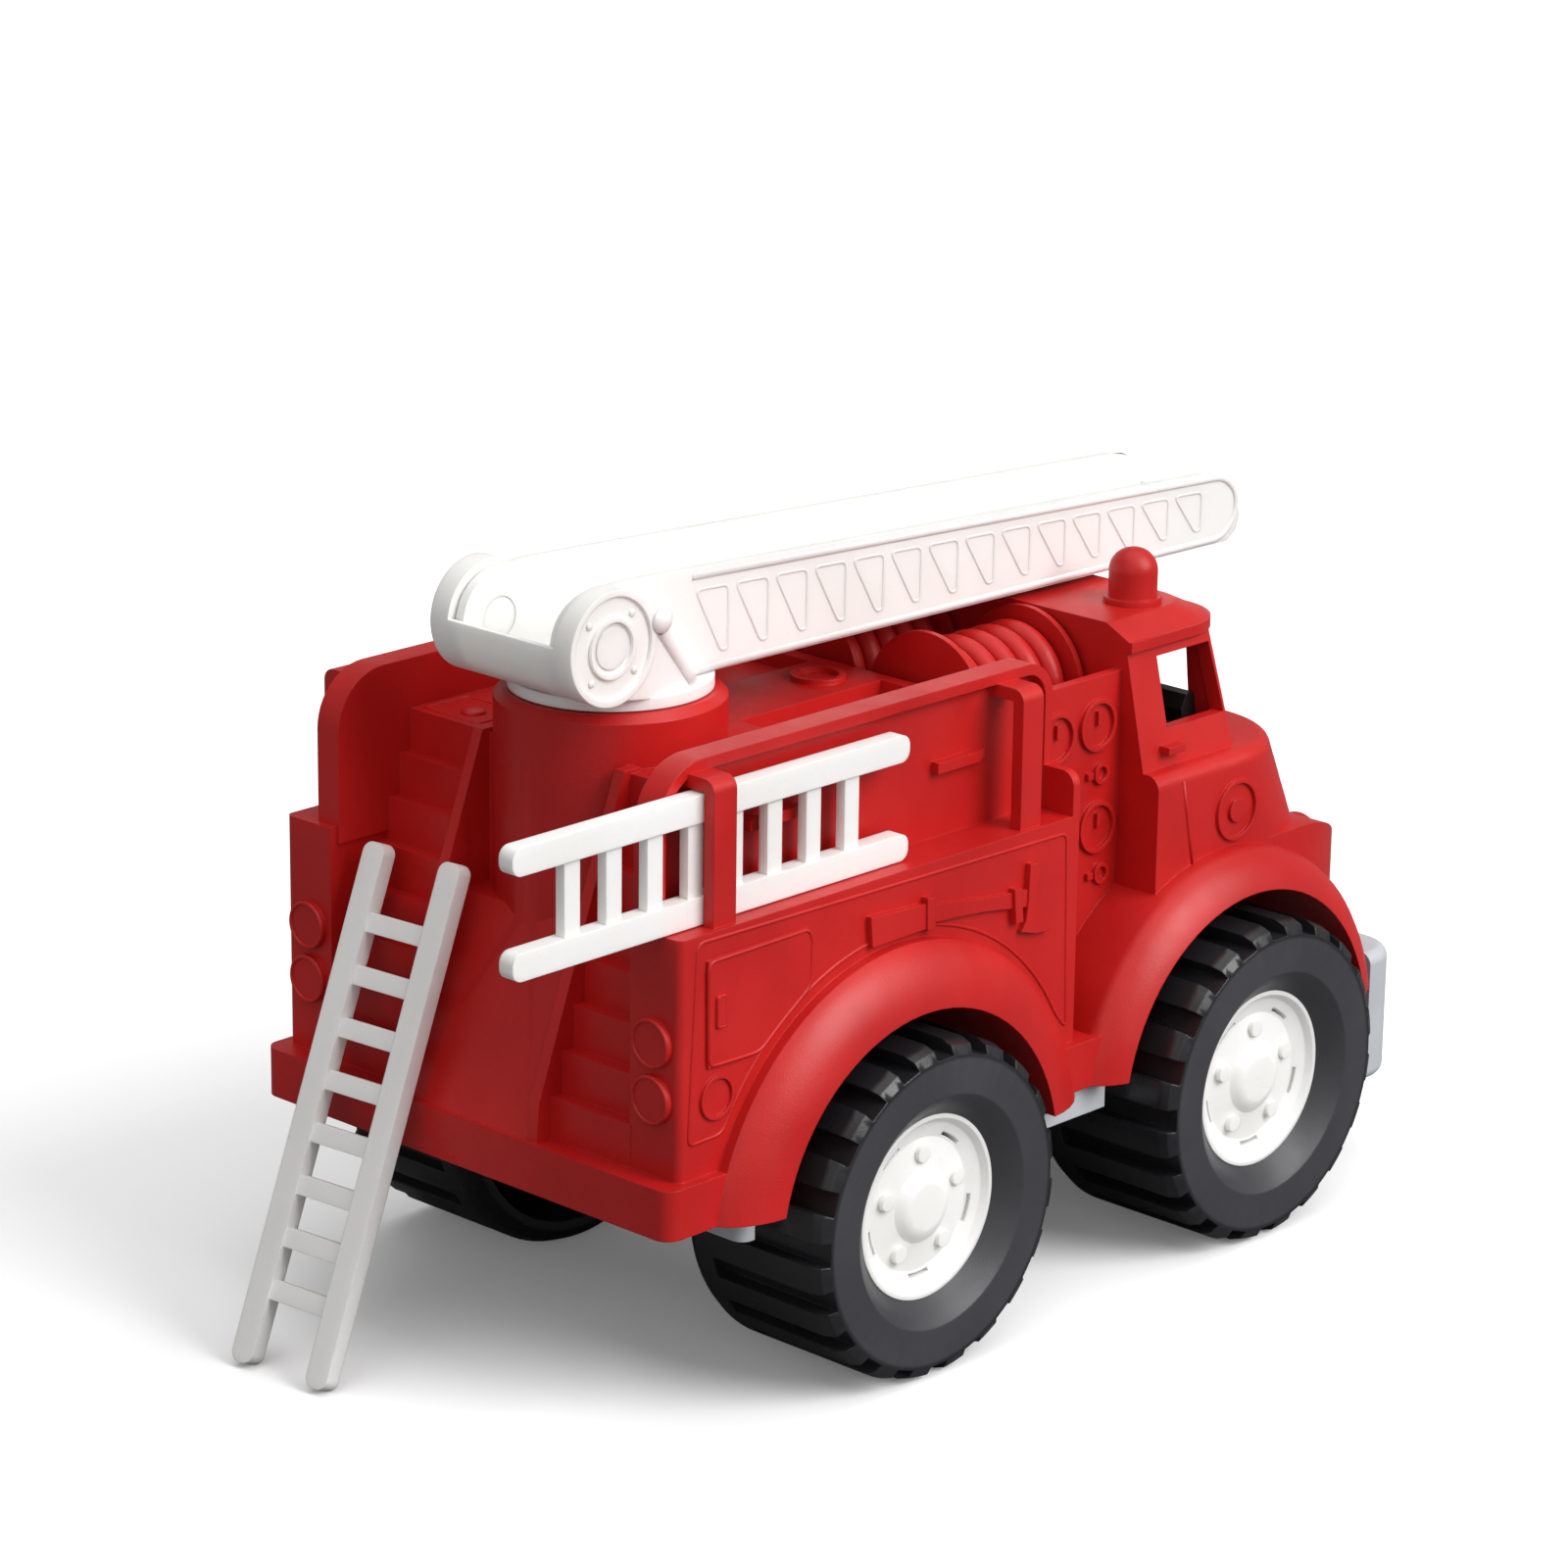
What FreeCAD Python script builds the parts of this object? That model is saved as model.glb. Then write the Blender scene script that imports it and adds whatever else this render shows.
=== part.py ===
import FreeCAD, Part
import math
import os
import Sketcher

# Toy fire engine. X is across the truck, the front faces -Y, +Z is up and the
# ground is Z = 0. All lengths are in millimetres and all angles in degrees.

DOCUMENT = FreeCAD.newDocument("toy_fire_engine")
SHEET = DOCUMENT.addObject("Spreadsheet::Sheet", "Sizes")

SIZES = {
    # wheels and axles
    "axle_height": 40.0, "rear_axle_at": 39.5, "front_axle_at": -79.7,
    "tyre_radius": 40.0, "tyre_outer": 79.5, "tyre_inner": 36.5, "tyre_lip": 27.6,
    "tread_count": 20, "tread_gap": 5.6, "tread_depth": 3.2, "tread_end": 45.0,
    "rim_radius": 21.8, "rim_face": 74.5, "hub_boss": 7.2,
    "axle_radius": 4.0, "axle_half": 71.0, "axle_play": 0.06,
    # lower body
    "sill_bottom": 49.5, "sill_top": 61.2, "sill_half": 66.2,
    "bumper_rear": 114.0, "sill_front": -36.0,
    "locker_half": 63.7, "locker_rear": 108.3, "locker_front": -22.7, "shelf": 116.7,
    "core_half": 48.5, "deck": 140.5, "stair_top_at": 84.0, "stair_foot_at": 112.0,
    "stair_count": 8, "stringer_in": 21.7, "stringer_out": 24.2,
    "slope_top": 105.0, "slope_top_at": 92.0, "slope_foot_at": 113.2,
    "wall": 2.6, "liner": 2.2, "well_radius": 46.0, "well_inner": 34.0,
    # turret
    "turret_at": 66.5, "turret_radius": 26.6, "turret_top": 152.6, "turret_bevel": 1.8,
    "spigot_radius": 9.5, "spigot_play": 0.06, "turret_skin": 3.2,
    # ladder racks
    "rack_out": 52.0, "rack_top": 152.5, "rack_rear": 106.3, "flange_out": 54.6,
    "flange_thick": 2.6, "rack_rear_round": 14.0, "rack_front_round": 9.0,
    "hook_out": 62.5, "hook_top": 149.9, "hook_thick": 3.0, "hook_width": 7.0,
    "hook_rear_at": 93.5, "hook_front_at": -6.8,
    # hose reels and pump panel
    "reel_side": 20.0, "reel_height": 134.3, "reel_flange": 18.3, "reel_core": 12.4,
    "reel_rear": -17.4, "reel_front": -53.4, "hose_radius": 2.95, "hose_turns": 5,
    "panel_top": 142.0, "bay_rear": -15.0,
    # cab
    "cab_rear": -54.5, "cab_half": 61.0, "belt": 118.0, "pane_half_low": 56.5,
    "pane_half_high": 50.0, "eave": 146.6, "brim_top": 149.0, "roof_top": 152.6, "roof_half": 51.4,
    "screen_low_at": -91.0, "screen_high_at": -87.5, "roof_front": -94.0,
    "nose_at": -128.0, "apron_front": -147.5, "apron_bottom": 54.4,
    "apron_top": 94.0, "apron_round": 38.0, "lean_from": 88.0, "bonnet_front": -112.0,
    # chassis
    "chassis_bottom": 41.5, "chassis_half": 63.5, "chassis_rear": 88.0, "beam_half": 33.5,
    "front_bumper": -153.25, "front_bumper_half": 62.0, "front_bumper_low": 20.0,
    "front_bumper_top": 54.0,
    # turntable, boom and pivot
    "pivot_at": 87.6, "pivot_height": 169.4, "cheek_radius": 13.2, "cheek_in": 16.8,
    "cheek_out": 21.6, "base_low": 152.9, "base_top": 155.6, "base_radius": 23.4,
    "scoop_inner": 11.8, "pin_radius": 4.8, "pin_play": 0.06,
    "boom_half": 16.2, "boom_skin": 2.4, "boom_tail": 11.3, "boom_tip": -137.6,
    # loose ladders
    "ladder_length": 122.0, "ladder_width": 29.4, "ladder_depth": 4.2,
    "stile_width": 6.3, "rung_count": 8, "rung_width": 4.6, "rung_depth": 2.6,
    "rung_pitch": 12.3, "groove_width": 2.4, "groove_depth": 0.8,
    "racked_centre": 92.25, "racked_side": -57.1, "racked_foot": 117.0,
    "lean_angle": 22.55, "lean_twist": 4.77, "lean_side": 24.2, "lean_foot_at": 146.2,
    # beacon
    "beacon_side": -35.0, "beacon_at": -74.0, "beacon_radius": 5.9,
    "beacon_flange": 7.0, "beacon_stem": 3.2, "beacon_height": 13.2,
}
for row, (alias, number) in enumerate(SIZES.items(), start=1):
    SHEET.set("A%d" % row, alias.replace("_", " "))
    SHEET.set("B%d" % row, str(number))
    SHEET.setAlias("B%d" % row, alias)
DOCUMENT.recompute()


class Dim:
    """A length that knows its value and the sheet expression that gives it."""

    def __init__(self, value, text):
        self.value = value
        self.text = text

    def join(self, other, sign, value):
        text = other.text if isinstance(other, Dim) else "(%.6g)" % other
        return Dim(value, "(%s %s %s)" % (self.text, sign, text))

    def __add__(self, other):
        return self.join(other, "+", self.value + number(other))

    def __radd__(self, other):
        return self.__add__(other)

    def __sub__(self, other):
        return self.join(other, "-", self.value - number(other))

    def __rsub__(self, other):
        return (-self) + other

    def __mul__(self, other):
        return self.join(other, "*", self.value * number(other))

    def __truediv__(self, other):
        return self.join(other, "/", self.value / number(other))

    def __neg__(self):
        return Dim(-self.value, "(-1 * %s)" % self.text)


def number(value):
    """The plain number of a Dim or a float."""
    return value.value if isinstance(value, Dim) else float(value)


def size(alias):
    """One cell of the sheet as a Dim."""
    return Dim(float(SHEET.get(alias)), "Sizes.%s" % alias)


def bind(target, path, value):
    """Tie a property or constraint to the sheet when the value is a Dim."""
    if isinstance(value, Dim):
        target.setExpression(path, value.text)


# ---------------------------------------------------------------- modelling tools

PLANES = {"XY": "XY_Plane", "XZ": "XZ_Plane", "YZ": "YZ_Plane"}


def new_body(name):
    """A PartDesign body whose label names its file."""
    body = DOCUMENT.addObject("PartDesign::Body", name)
    body.Label = name
    return body


def origin_feature(body, role):
    """An origin plane or axis of a body."""
    return [item for item in body.Origin.OriginFeatures if item.Role == role][0]


def new_sketch(body, name, plane, origin=(0.0, 0.0), level=0.0):
    """A sketch on an origin plane, moved by origin in the plane and level along its normal."""
    sketch = body.newObject("Sketcher::SketchObject", name)
    sketch.AttachmentSupport = [(origin_feature(body, PLANES[plane]), "")]
    sketch.MapMode = "FlatFace"
    if plane == "XZ":
        level = -level if isinstance(level, Dim) else -float(level)
    values = (origin[0], origin[1], level)
    shift = FreeCAD.Vector(*[number(value) for value in values])
    sketch.AttachmentOffset = FreeCAD.Placement(shift, FreeCAD.Rotation())
    for axis, value in zip("xyz", values):
        bind(sketch, "AttachmentOffset.Base.%s" % axis, value)
    return sketch


def pin_point(sketch, geometry, point, place):
    """Fix one point of a sketch at a place given by two lengths."""
    for kind, axis, value in (("DistanceX", -2, place[0]), ("DistanceY", -1, place[1])):
        if abs(number(value)) < 1e-9:
            sketch.addConstraint(Sketcher.Constraint("PointOnObject", geometry, point, axis))
            continue
        rule = Sketcher.Constraint(kind, -1, 1, geometry, point, number(value))
        index = sketch.addConstraint(rule)
        bind(sketch, "Constraints[%d]" % index, value)


def vector(place):
    return FreeCAD.Vector(number(place[0]), number(place[1]), 0)


def unit_step(start, end):
    """The axis direction of a horizontal or vertical run."""
    dx = number(end[0]) - number(start[0])
    dy = number(end[1]) - number(start[1])
    if abs(dx) > abs(dy):
        return (math.copysign(1, dx), 0)
    return (0, math.copysign(1, dy))


def moved(place, step, distance):
    """A place moved along an axis direction."""
    return tuple(distance * sign + base if sign else base for base, sign in zip(place, step))


def draw_polygon(sketch, places, rounds=None):
    """A closed outline. Square corners may be rounded: rounds is {corner index: radius}."""
    rounds = rounds or {}
    count = len(places)
    ends = []
    for i, place in enumerate(places):
        if i in rounds:
            before = unit_step(places[i - 1], place)
            after = unit_step(place, places[(i + 1) % count])
            back = (-before[0], -before[1])
            ends.append((moved(place, back, rounds[i]), moved(place, after, rounds[i]), before, after))
        else:
            ends.append((place, place, None, None))
    lines = []
    for i in range(count):
        start = ends[i][1]
        end = ends[(i + 1) % count][0]
        line = sketch.addGeometry(Part.LineSegment(vector(start), vector(end)), False)
        lines.append(line)
        pin_point(sketch, line, 1, start)
    for i in range(count):
        before = lines[i - 1]
        if i not in rounds:
            sketch.addConstraint(Sketcher.Constraint("Coincident", before, 2, lines[i], 1))
            continue
        tangent_in, tangent_out, step_in, step_out = ends[i]
        radius = number(rounds[i])
        first = vector(tangent_in)
        last = vector(tangent_out)
        inward = FreeCAD.Vector(step_out[0], step_out[1], 0)
        centre = first + inward * radius
        corner = vector(places[i])
        middle = centre + (corner - centre).normalize() * radius
        anticlockwise = step_in[0] * step_out[1] - step_in[1] * step_out[0] > 0
        ends_in_order = (first, last) if anticlockwise else (last, first)
        arc = sketch.addGeometry(Part.Arc(ends_in_order[0], middle, ends_in_order[1]), False)
        near, far = (1, 2) if anticlockwise else (2, 1)
        pin_point(sketch, before, 2, tangent_in)
        sketch.addConstraint(Sketcher.Constraint("Coincident", before, 2, arc, near))
        sketch.addConstraint(Sketcher.Constraint("Coincident", lines[i], 1, arc, far))
        index = sketch.addConstraint(Sketcher.Constraint("Radius", arc, radius))
        bind(sketch, "Constraints[%d]" % index, rounds[i])


def draw_circle(sketch, place, radius):
    """A circle fixed at a place."""
    shape = Part.Circle(vector(place), FreeCAD.Vector(0, 0, 1), number(radius))
    circle = sketch.addGeometry(shape, False)
    pin_point(sketch, circle, 3, place)
    index = sketch.addConstraint(Sketcher.Constraint("Radius", circle, number(radius)))
    bind(sketch, "Constraints[%d]" % index, radius)


def draw_box(sketch, low, high, rounds=None):
    """A rectangle from its low corner to its high corner, anticlockwise."""
    places = [low, (high[0], low[1]), high, (low[0], high[1])]
    draw_polygon(sketch, places, rounds)


def extrude(body, name, plane, low, high, draw, cut=False):
    """Add or remove the drawn outline between two levels along the plane's world axis."""
    along_axis = plane != "XZ"
    start = low if along_axis != cut else high
    sketch = new_sketch(body, name + "_sketch", plane, level=start)
    draw(sketch)
    kind = "PartDesign::Pocket" if cut else "PartDesign::Pad"
    feature = body.newObject(kind, name)
    feature.Profile = sketch
    feature.Refine = False
    span = high - low
    feature.Length = number(span)
    bind(feature, "Length", span)
    return feature


def mirrored_levels(side, near, far):
    """The span between near and far on one side of the truck's middle plane."""
    if side > 0:
        return near, far
    return -far, -near


def turn(body, name, plane, origin, level, axis, draw, cut=False):
    """A full turn of the drawn outline about an axis of its own sketch."""
    sketch = new_sketch(body, name + "_sketch", plane, origin, level)
    draw(sketch)
    kind = "PartDesign::Groove" if cut else "PartDesign::Revolution"
    feature = body.newObject(kind, name)
    feature.Profile = sketch
    feature.ReferenceAxis = (sketch, [axis])
    feature.Angle = 360
    feature.Refine = False
    return feature


def edges_where(feature, test):
    """Names of the edges whose middle point, start and end pass a test."""
    names = []
    for index, edge in enumerate(feature.Shape.Edges, start=1):
        box = edge.BoundBox
        if test(box):
            names.append("Edge%d" % index)
    return names


def soften(body, name, base, test, radius, chamfer=False):
    """Fillet or chamfer the edges of a feature that pass a test on their bounding box."""
    DOCUMENT.recompute()
    names = edges_where(base, test)
    if not names:
        raise RuntimeError("%s found no edge" % name)
    kind = "PartDesign::Chamfer" if chamfer else "PartDesign::Fillet"
    feature = body.newObject(kind, name)
    feature.Base = (base, names)
    prop = "Size" if chamfer else "Radius"
    setattr(feature, prop, number(radius))
    bind(feature, prop, radius)
    return feature


def at(value, target, slack=0.05):
    return abs(value - number(target)) < slack


SIDES = (("right", -1), ("left", 1))


# ---------------------------------------------------------------- body shell

def build_shell():
    """The red moulding: lockers, stairs, turret, racks, reels, fenders and cab."""
    body = new_body("body_shell")
    sill_low = size("sill_bottom")
    core = size("core_half")
    locker = size("locker_half")
    stair = size("stair_top_at")
    rear_axle = size("rear_axle_at")
    front_axle = size("front_axle_at")
    axle_z = size("axle_height")
    well = size("well_radius")
    rack = size("rack_out")
    wall = size("wall")

    def lockers(sketch):
        rear = size("locker_rear")
        front = size("locker_front")
        draw_polygon(sketch, [
            (-locker, front), (locker, front), (locker, rear), (core, rear),
            (core, stair), (-core, stair), (-core, rear), (-locker, rear)],
            {2: 2.0, 7: 2.0})
    extrude(body, "lockers", "XY", sill_low, size("shelf"), lockers)

    half = size("sill_half")
    extrude(body, "sill", "XY", sill_low, size("sill_top"), lambda sketch: draw_box(
        sketch, (-half, size("sill_front")), (half, size("bumper_rear")), {2: 4.0, 3: 4.0}))
    extrude(body, "core", "XY", sill_low, size("deck"), lambda sketch: draw_box(
        sketch, (-core, size("cab_rear") - 1.0), (core, stair)))

    # stairs with their stringers on both sides of a sloped middle panel
    count = int(number(size("stair_count")))
    rise = (size("deck") - size("sill_top")) / count
    going = (size("stair_foot_at") - stair) / count

    def steps(sketch):
        foot = size("sill_top") - 1.0
        places = [(stair - 3.0, foot), (size("stair_foot_at"), foot)]
        for i in range(count, 0, -1):
            level = size("deck") - rise * i
            if i < count:
                places.append((stair + going * i, level))
            places.append((stair + going * i, level + rise) if i == 0 else (stair + going * (i - 1), level))
        places.append((stair, size("deck")))
        places.append((stair - 3.0, size("deck")))
        draw_polygon(sketch, tidy_places(places))

    def stringer(sketch):
        foot = size("sill_top") - 1.0
        top = size("deck") + 1.0
        draw_polygon(sketch, [
            (stair - 3.0, foot), (size("slope_foot_at"), foot),
            (size("slope_foot_at") - 0.9, size("sill_top") + 9.0),
            (stair + 2.2, top), (stair - 3.0, top)])

    def slope(sketch):
        foot = size("sill_top") - 1.0
        draw_polygon(sketch, [
            (stair - 3.0, foot), (size("slope_foot_at"), foot),
            (size("slope_top_at"), size("slope_top")), (stair - 3.0, size("slope_top"))])

    inner = size("stringer_in")
    outer = size("stringer_out")
    extrude(body, "slope_panel", "YZ", -inner, inner, slope)
    for label, side in SIDES:
        low, high = mirrored_levels(side, outer - 0.5, core + 0.5)
        extrude(body, "stairs_" + label, "YZ", low, high, steps)
        low, high = mirrored_levels(side, inner - 0.5, outer)
        extrude(body, "stringer_" + label, "YZ", low, high, stringer)

    # turret drum with a bevelled rim
    foot = size("slope_top") - 25.0
    drum = extrude(body, "turret", "XY", foot, size("turret_top"), lambda sketch: draw_circle(
        sketch, (0.0, size("turret_at")), size("turret_radius")))
    soften(body, "turret_rim", drum, lambda box: at(box.ZMin, size("turret_top")) and box.XLength > 40,
           size("turret_bevel"), chamfer=True)

    # rack walls, their flanges, hooks and pegs
    def rack_outline(sketch, inset=0.0, foot=None):
        front = size("locker_front") + inset
        rear = size("rack_rear") - inset
        top = size("rack_top") - inset
        base = size("shelf") - 4.0 if foot is None else foot
        draw_box(sketch, (front, base), (rear, top), {
            2: size("rack_rear_round") - inset, 3: size("rack_front_round") - inset})

    for label, side in SIDES:
        low, high = mirrored_levels(side, core - 1.0, rack)
        extrude(body, "rack_wall_" + label, "YZ", low, high, rack_outline)
        low, high = mirrored_levels(side, rack, size("flange_out"))
        extrude(body, "rack_flange_" + label, "YZ", low, high, rack_outline)
        low, high = mirrored_levels(side, rack, size("flange_out") + 1.0)
        extrude(body, "rack_recess_" + label, "YZ", low, high, lambda sketch: rack_outline(
            sketch, size("flange_thick"), size("shelf")), cut=True)

    def hooks(sketch):
        foot = size("shelf") - 1.0
        root = rack - 1.0
        out = size("hook_out")
        top = size("hook_top")
        thick = size("hook_thick")
        for _, side in SIDES:
            places = [(root, top - thick), (out - thick, top - thick), (out - thick, foot),
                      (out, foot), (out, top), (root, top)]
            draw_polygon(sketch, [(u * side, v) for u, v in places], {4: 3.0})

    for place, middle in (("rear", size("hook_rear_at")), ("front", size("hook_front_at"))):
        reach = size("hook_width") / 2
        extrude(body, "hooks_" + place, "XZ", middle - reach, middle + reach, hooks)

    def pegs(sketch):
        for _, side in SIDES:
            for middle in (7.0, 68.0):
                places = [(rack - 1.0, middle - 9.0), (rack + 0.4, middle - 9.0), (rack + 2.2, middle - 5.0),
                          (rack + 2.2, middle + 9.0), (rack - 1.0, middle + 9.0)]
                draw_polygon(sketch, [(u * side, v) for u, v in places])
    extrude(body, "pegs", "XY", 132.4, 135.0, pegs)

    def upstands(sketch):
        for _, side in SIDES:
            places = [(rack - 1.0, 115.0), (locker, 115.0), (locker, 127.2), (rack - 1.0, 127.2)]
            draw_polygon(sketch, [(u * side, v) for u, v in places], {2: 3.5})
    extrude(body, "upstands", "XZ", size("locker_front"), size("locker_front") + 2.4, upstands)
    build_gauges(body)

    # deck: the reel bay with its raised pump panels, the filler ring and two trays
    skin = size("core_half") - wall
    for label, side in SIDES:
        low, high = mirrored_levels(side, skin, core)
        extrude(body, "panel_rise_" + label, "YZ", low, high, lambda sketch: draw_box(
            sketch, (size("cab_rear") - 1.0, size("deck") - 3.0), (size("bay_rear"), size("panel_top"))))
    extrude(body, "reel_bay", "XY", size("reel_height"), size("panel_top") + 1.0, lambda sketch: draw_box(
        sketch, (-skin, size("cab_rear")), (skin, size("bay_rear"))), cut=True)

    def trays(sketch):
        for _, side in SIDES:
            near, far = mirrored_levels(side, 11.5, skin)
            draw_box(sketch, (near, -11.0), (far, 37.0))
    extrude(body, "trays", "XY", size("deck") - 4.0, size("deck") + 0.5, trays, cut=True)

    def filler(sketch):
        draw_circle(sketch, (0.0, -1.7), 6.6)
        draw_circle(sketch, (0.0, -1.7), 5.0)
    extrude(body, "filler_ring", "XY", size("deck") - 1.0, size("deck") + 1.2, filler)
    build_reels(body)

    # fender rings round each axle
    build_fenders(body)
    build_cab(body)
    build_details(body)

    # hollows inside the moulding, then the wheel-well liners and the open underside
    rear_hollow = [(48.0, 57.2), (65.0, 57.2), (67.9, 54.4), (70.0, 50.5), (70.7, well)]
    front_hollow = [(48.0, 52.2), (62.6, 52.2), (65.8, 49.8), (67.9, well)]
    axles = (("rear", rear_axle, rear_hollow), ("front", front_axle, front_hollow))
    for label, axle, hollow in axles:
        def well_section(sketch):
            inner = size("well_inner")
            places = [(inner, 0.0), (95.0, 0.0), (95.0, well)] + hollow[::-1] + [(48.0, well), (inner, well)]
            for _, side in SIDES:
                draw_polygon(sketch, [(u * side, v) for u, v in places])
        turn(body, "well_" + label, "XY", (0.0, axle), axle_z, "H_Axis", well_section, cut=True)
    hollow_rear(body)
    hollow_cab(body)
    for label, axle, hollow in axles:
        def liner_section(sketch):
            inner = size("well_inner")
            thick = size("liner")
            outer = hollow[-1][0] + 0.4
            places = [(inner - thick, 0.0), (inner, 0.0), (inner, well), (outer, well),
                      (outer, well + thick), (inner - thick, well + thick)]
            for _, side in SIDES:
                draw_polygon(sketch, [(u * side, v) for u, v in places])
        turn(body, "liner_" + label, "XY", (0.0, axle), axle_z, "H_Axis", liner_section)
    extrude(body, "underside", "XY", -25.0, sill_low, lambda sketch: draw_box(
        sketch, (-95.0, -165.0), (95.0, 125.0)), cut=True)
    return body


def hollow_rear(body):
    """The open underside behind the cab: a wall of even thickness all round."""
    wall = size("wall")
    below = size("sill_bottom") - 1.0
    core = size("core_half")
    stair = size("stair_top_at")
    centre = (0.0, size("turret_at"))

    def lockers(sketch):
        front = size("locker_front") + wall
        rear = size("locker_rear") - wall
        outer = size("locker_half") - wall
        draw_polygon(sketch, [
            (-outer, front), (outer, front), (outer, rear), (core + wall, rear),
            (core + wall, stair - wall), (-core - wall, stair - wall), (-core - wall, rear), (-outer, rear)])
    extrude(body, "hollow_lockers", "XY", below, size("shelf") - wall, lockers, cut=True)
    extrude(body, "hollow_core", "XY", below, size("reel_height") - wall, lambda sketch: draw_box(
        sketch, (-core + wall, size("cab_rear") + wall), (core - wall, stair - wall)), cut=True)
    extrude(body, "hollow_deck", "XY", 120.0, size("deck") - wall, lambda sketch: draw_box(
        sketch, (-core + wall, 39.6), (core - wall, stair - wall)), cut=True)

    def under_stairs(sketch):
        draw_polygon(sketch, [
            (stair - 14.0, below), (size("bumper_rear") - 3.6, below), (size("bumper_rear") - 3.6, 58.0),
            (104.0, 61.5), (89.3, 102.4), (stair - 14.0, 102.4)])
    extrude(body, "hollow_stairs", "YZ", -core + wall, core - wall, under_stairs, cut=True)
    ceiling = size("turret_top") - size("turret_skin")
    extrude(body, "hollow_turret", "XY", 100.0, ceiling, lambda sketch: draw_circle(
        sketch, centre, size("turret_radius") - wall), cut=True)
    extrude(body, "turret_bore", "XY", 140.0, size("turret_top") + 1.0, lambda sketch: draw_circle(
        sketch, centre, size("spigot_radius") + size("spigot_play")), cut=True)


def tidy_places(places):
    """Drop places that repeat their neighbour."""
    kept = []
    for place in places:
        if kept and abs(number(place[0]) - number(kept[-1][0])) < 1e-6 \
                and abs(number(place[1]) - number(kept[-1][1])) < 1e-6:
            continue
        kept.append(place)
    return kept


def build_reels(body):
    """Two half-sunk hose reels side by side, lying along the truck."""
    rear = size("reel_rear")
    front = size("reel_front")
    core = size("reel_core")
    flange = size("reel_flange")
    turns = int(number(size("hose_turns")))
    pitch = (rear - front - 3.4) / turns
    for label, side in SIDES:
        middle = size("reel_side") * side

        def spool(sketch):
            draw_polygon(sketch, [
                (0.0, front), (flange, front), (flange, front + 1.6), (core, front + 1.6),
                (core, rear - 1.6), (flange, rear - 1.6), (flange, rear), (0.0, rear)])
        turn(body, "spool_" + label, "XY", (middle, 0.0), size("reel_height"), "V_Axis", spool)

        def hose(sketch):
            for i in range(turns):
                draw_circle(sketch, (core, front + 1.7 + pitch * (i + 0.5)), size("hose_radius"))
        turn(body, "hose_" + label, "XY", (middle, 0.0), size("reel_height"), "V_Axis", hose)


def build_fenders(body):
    """Rounded fender rings, a full turn each, trimmed later at the sill."""
    well = size("well_radius")
    height = size("axle_height")
    rear_curve = [(66.2, 60.2), (68.2, 59.0), (70.3, 56.3), (72.0, 52.9), (73.1, 49.4), (73.5, well)]
    front_curve = [(63.3, 55.2), (65.6, 54.2), (67.7, 52.4), (69.5, 50.0), (70.7, 47.6), (71.3, well)]
    for name, axle, curve, root in (("rear", size("rear_axle_at"), rear_curve, 60.0),
                                    ("front", size("front_axle_at"), front_curve, 45.0)):
        def rings(sketch):
            places = [(root, curve[0][1])] + curve + [(root, well)]
            for _, side in SIDES:
                draw_polygon(sketch, [(u * side, v) for u, v in places])
        turn(body, "fenders_" + name, "XY", (0.0, axle), height, "H_Axis", rings)


def build_cab(body):
    """Cab, hood and nose under the greenhouse. The hood leans back and has broad round corners."""
    rear = size("cab_rear")
    half = size("cab_half")
    low = size("sill_bottom")
    belt = size("belt")
    front = size("apron_front")
    bulge = size("apron_round")

    extrude(body, "apron", "YZ", -half, half, lambda sketch: draw_polygon(sketch, [
        (-95.0, size("apron_bottom")), (-95.0, size("apron_top")), (front, size("apron_top")),
        (front, size("apron_bottom"))], {2: bulge}))
    extrude(body, "apron_corners", "XY", low, size("apron_top") + 2.0, lambda sketch: [
        draw_corner(sketch, side, half, bulge, front) for _, side in SIDES], cut=True)

    def outline(nose, radius):
        return lambda sketch: draw_box(sketch, (-half, nose), (half, rear), {0: radius, 1: radius})
    lean = size("lean_from")
    foot = outline(size("nose_at"), 30.0)
    extrude(body, "hood", "XY", low, lean, foot)
    bonnet = loft(body, "bonnet", lean, belt, foot, outline(size("bonnet_front"), 26.0))
    soften(body, "bonnet_edge", bonnet, lambda box: at(box.ZMin, belt) and at(box.ZMax, belt)
           and box.YMin < number(rear) - 0.1, 3.5)
    build_greenhouse(body)


def loft(body, name, low, high, draw_low, draw_high, cut=False):
    """A straight loft between two outlines on level planes."""
    bottom = new_sketch(body, name + "_low", "XY", level=low)
    draw_low(bottom)
    top = new_sketch(body, name + "_high", "XY", level=high)
    draw_high(top)
    kind = "PartDesign::SubtractiveLoft" if cut else "PartDesign::AdditiveLoft"
    feature = body.newObject(kind, name)
    feature.Profile = bottom
    feature.Sections = [top]
    feature.Ruled = True
    feature.Refine = False
    return feature


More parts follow.
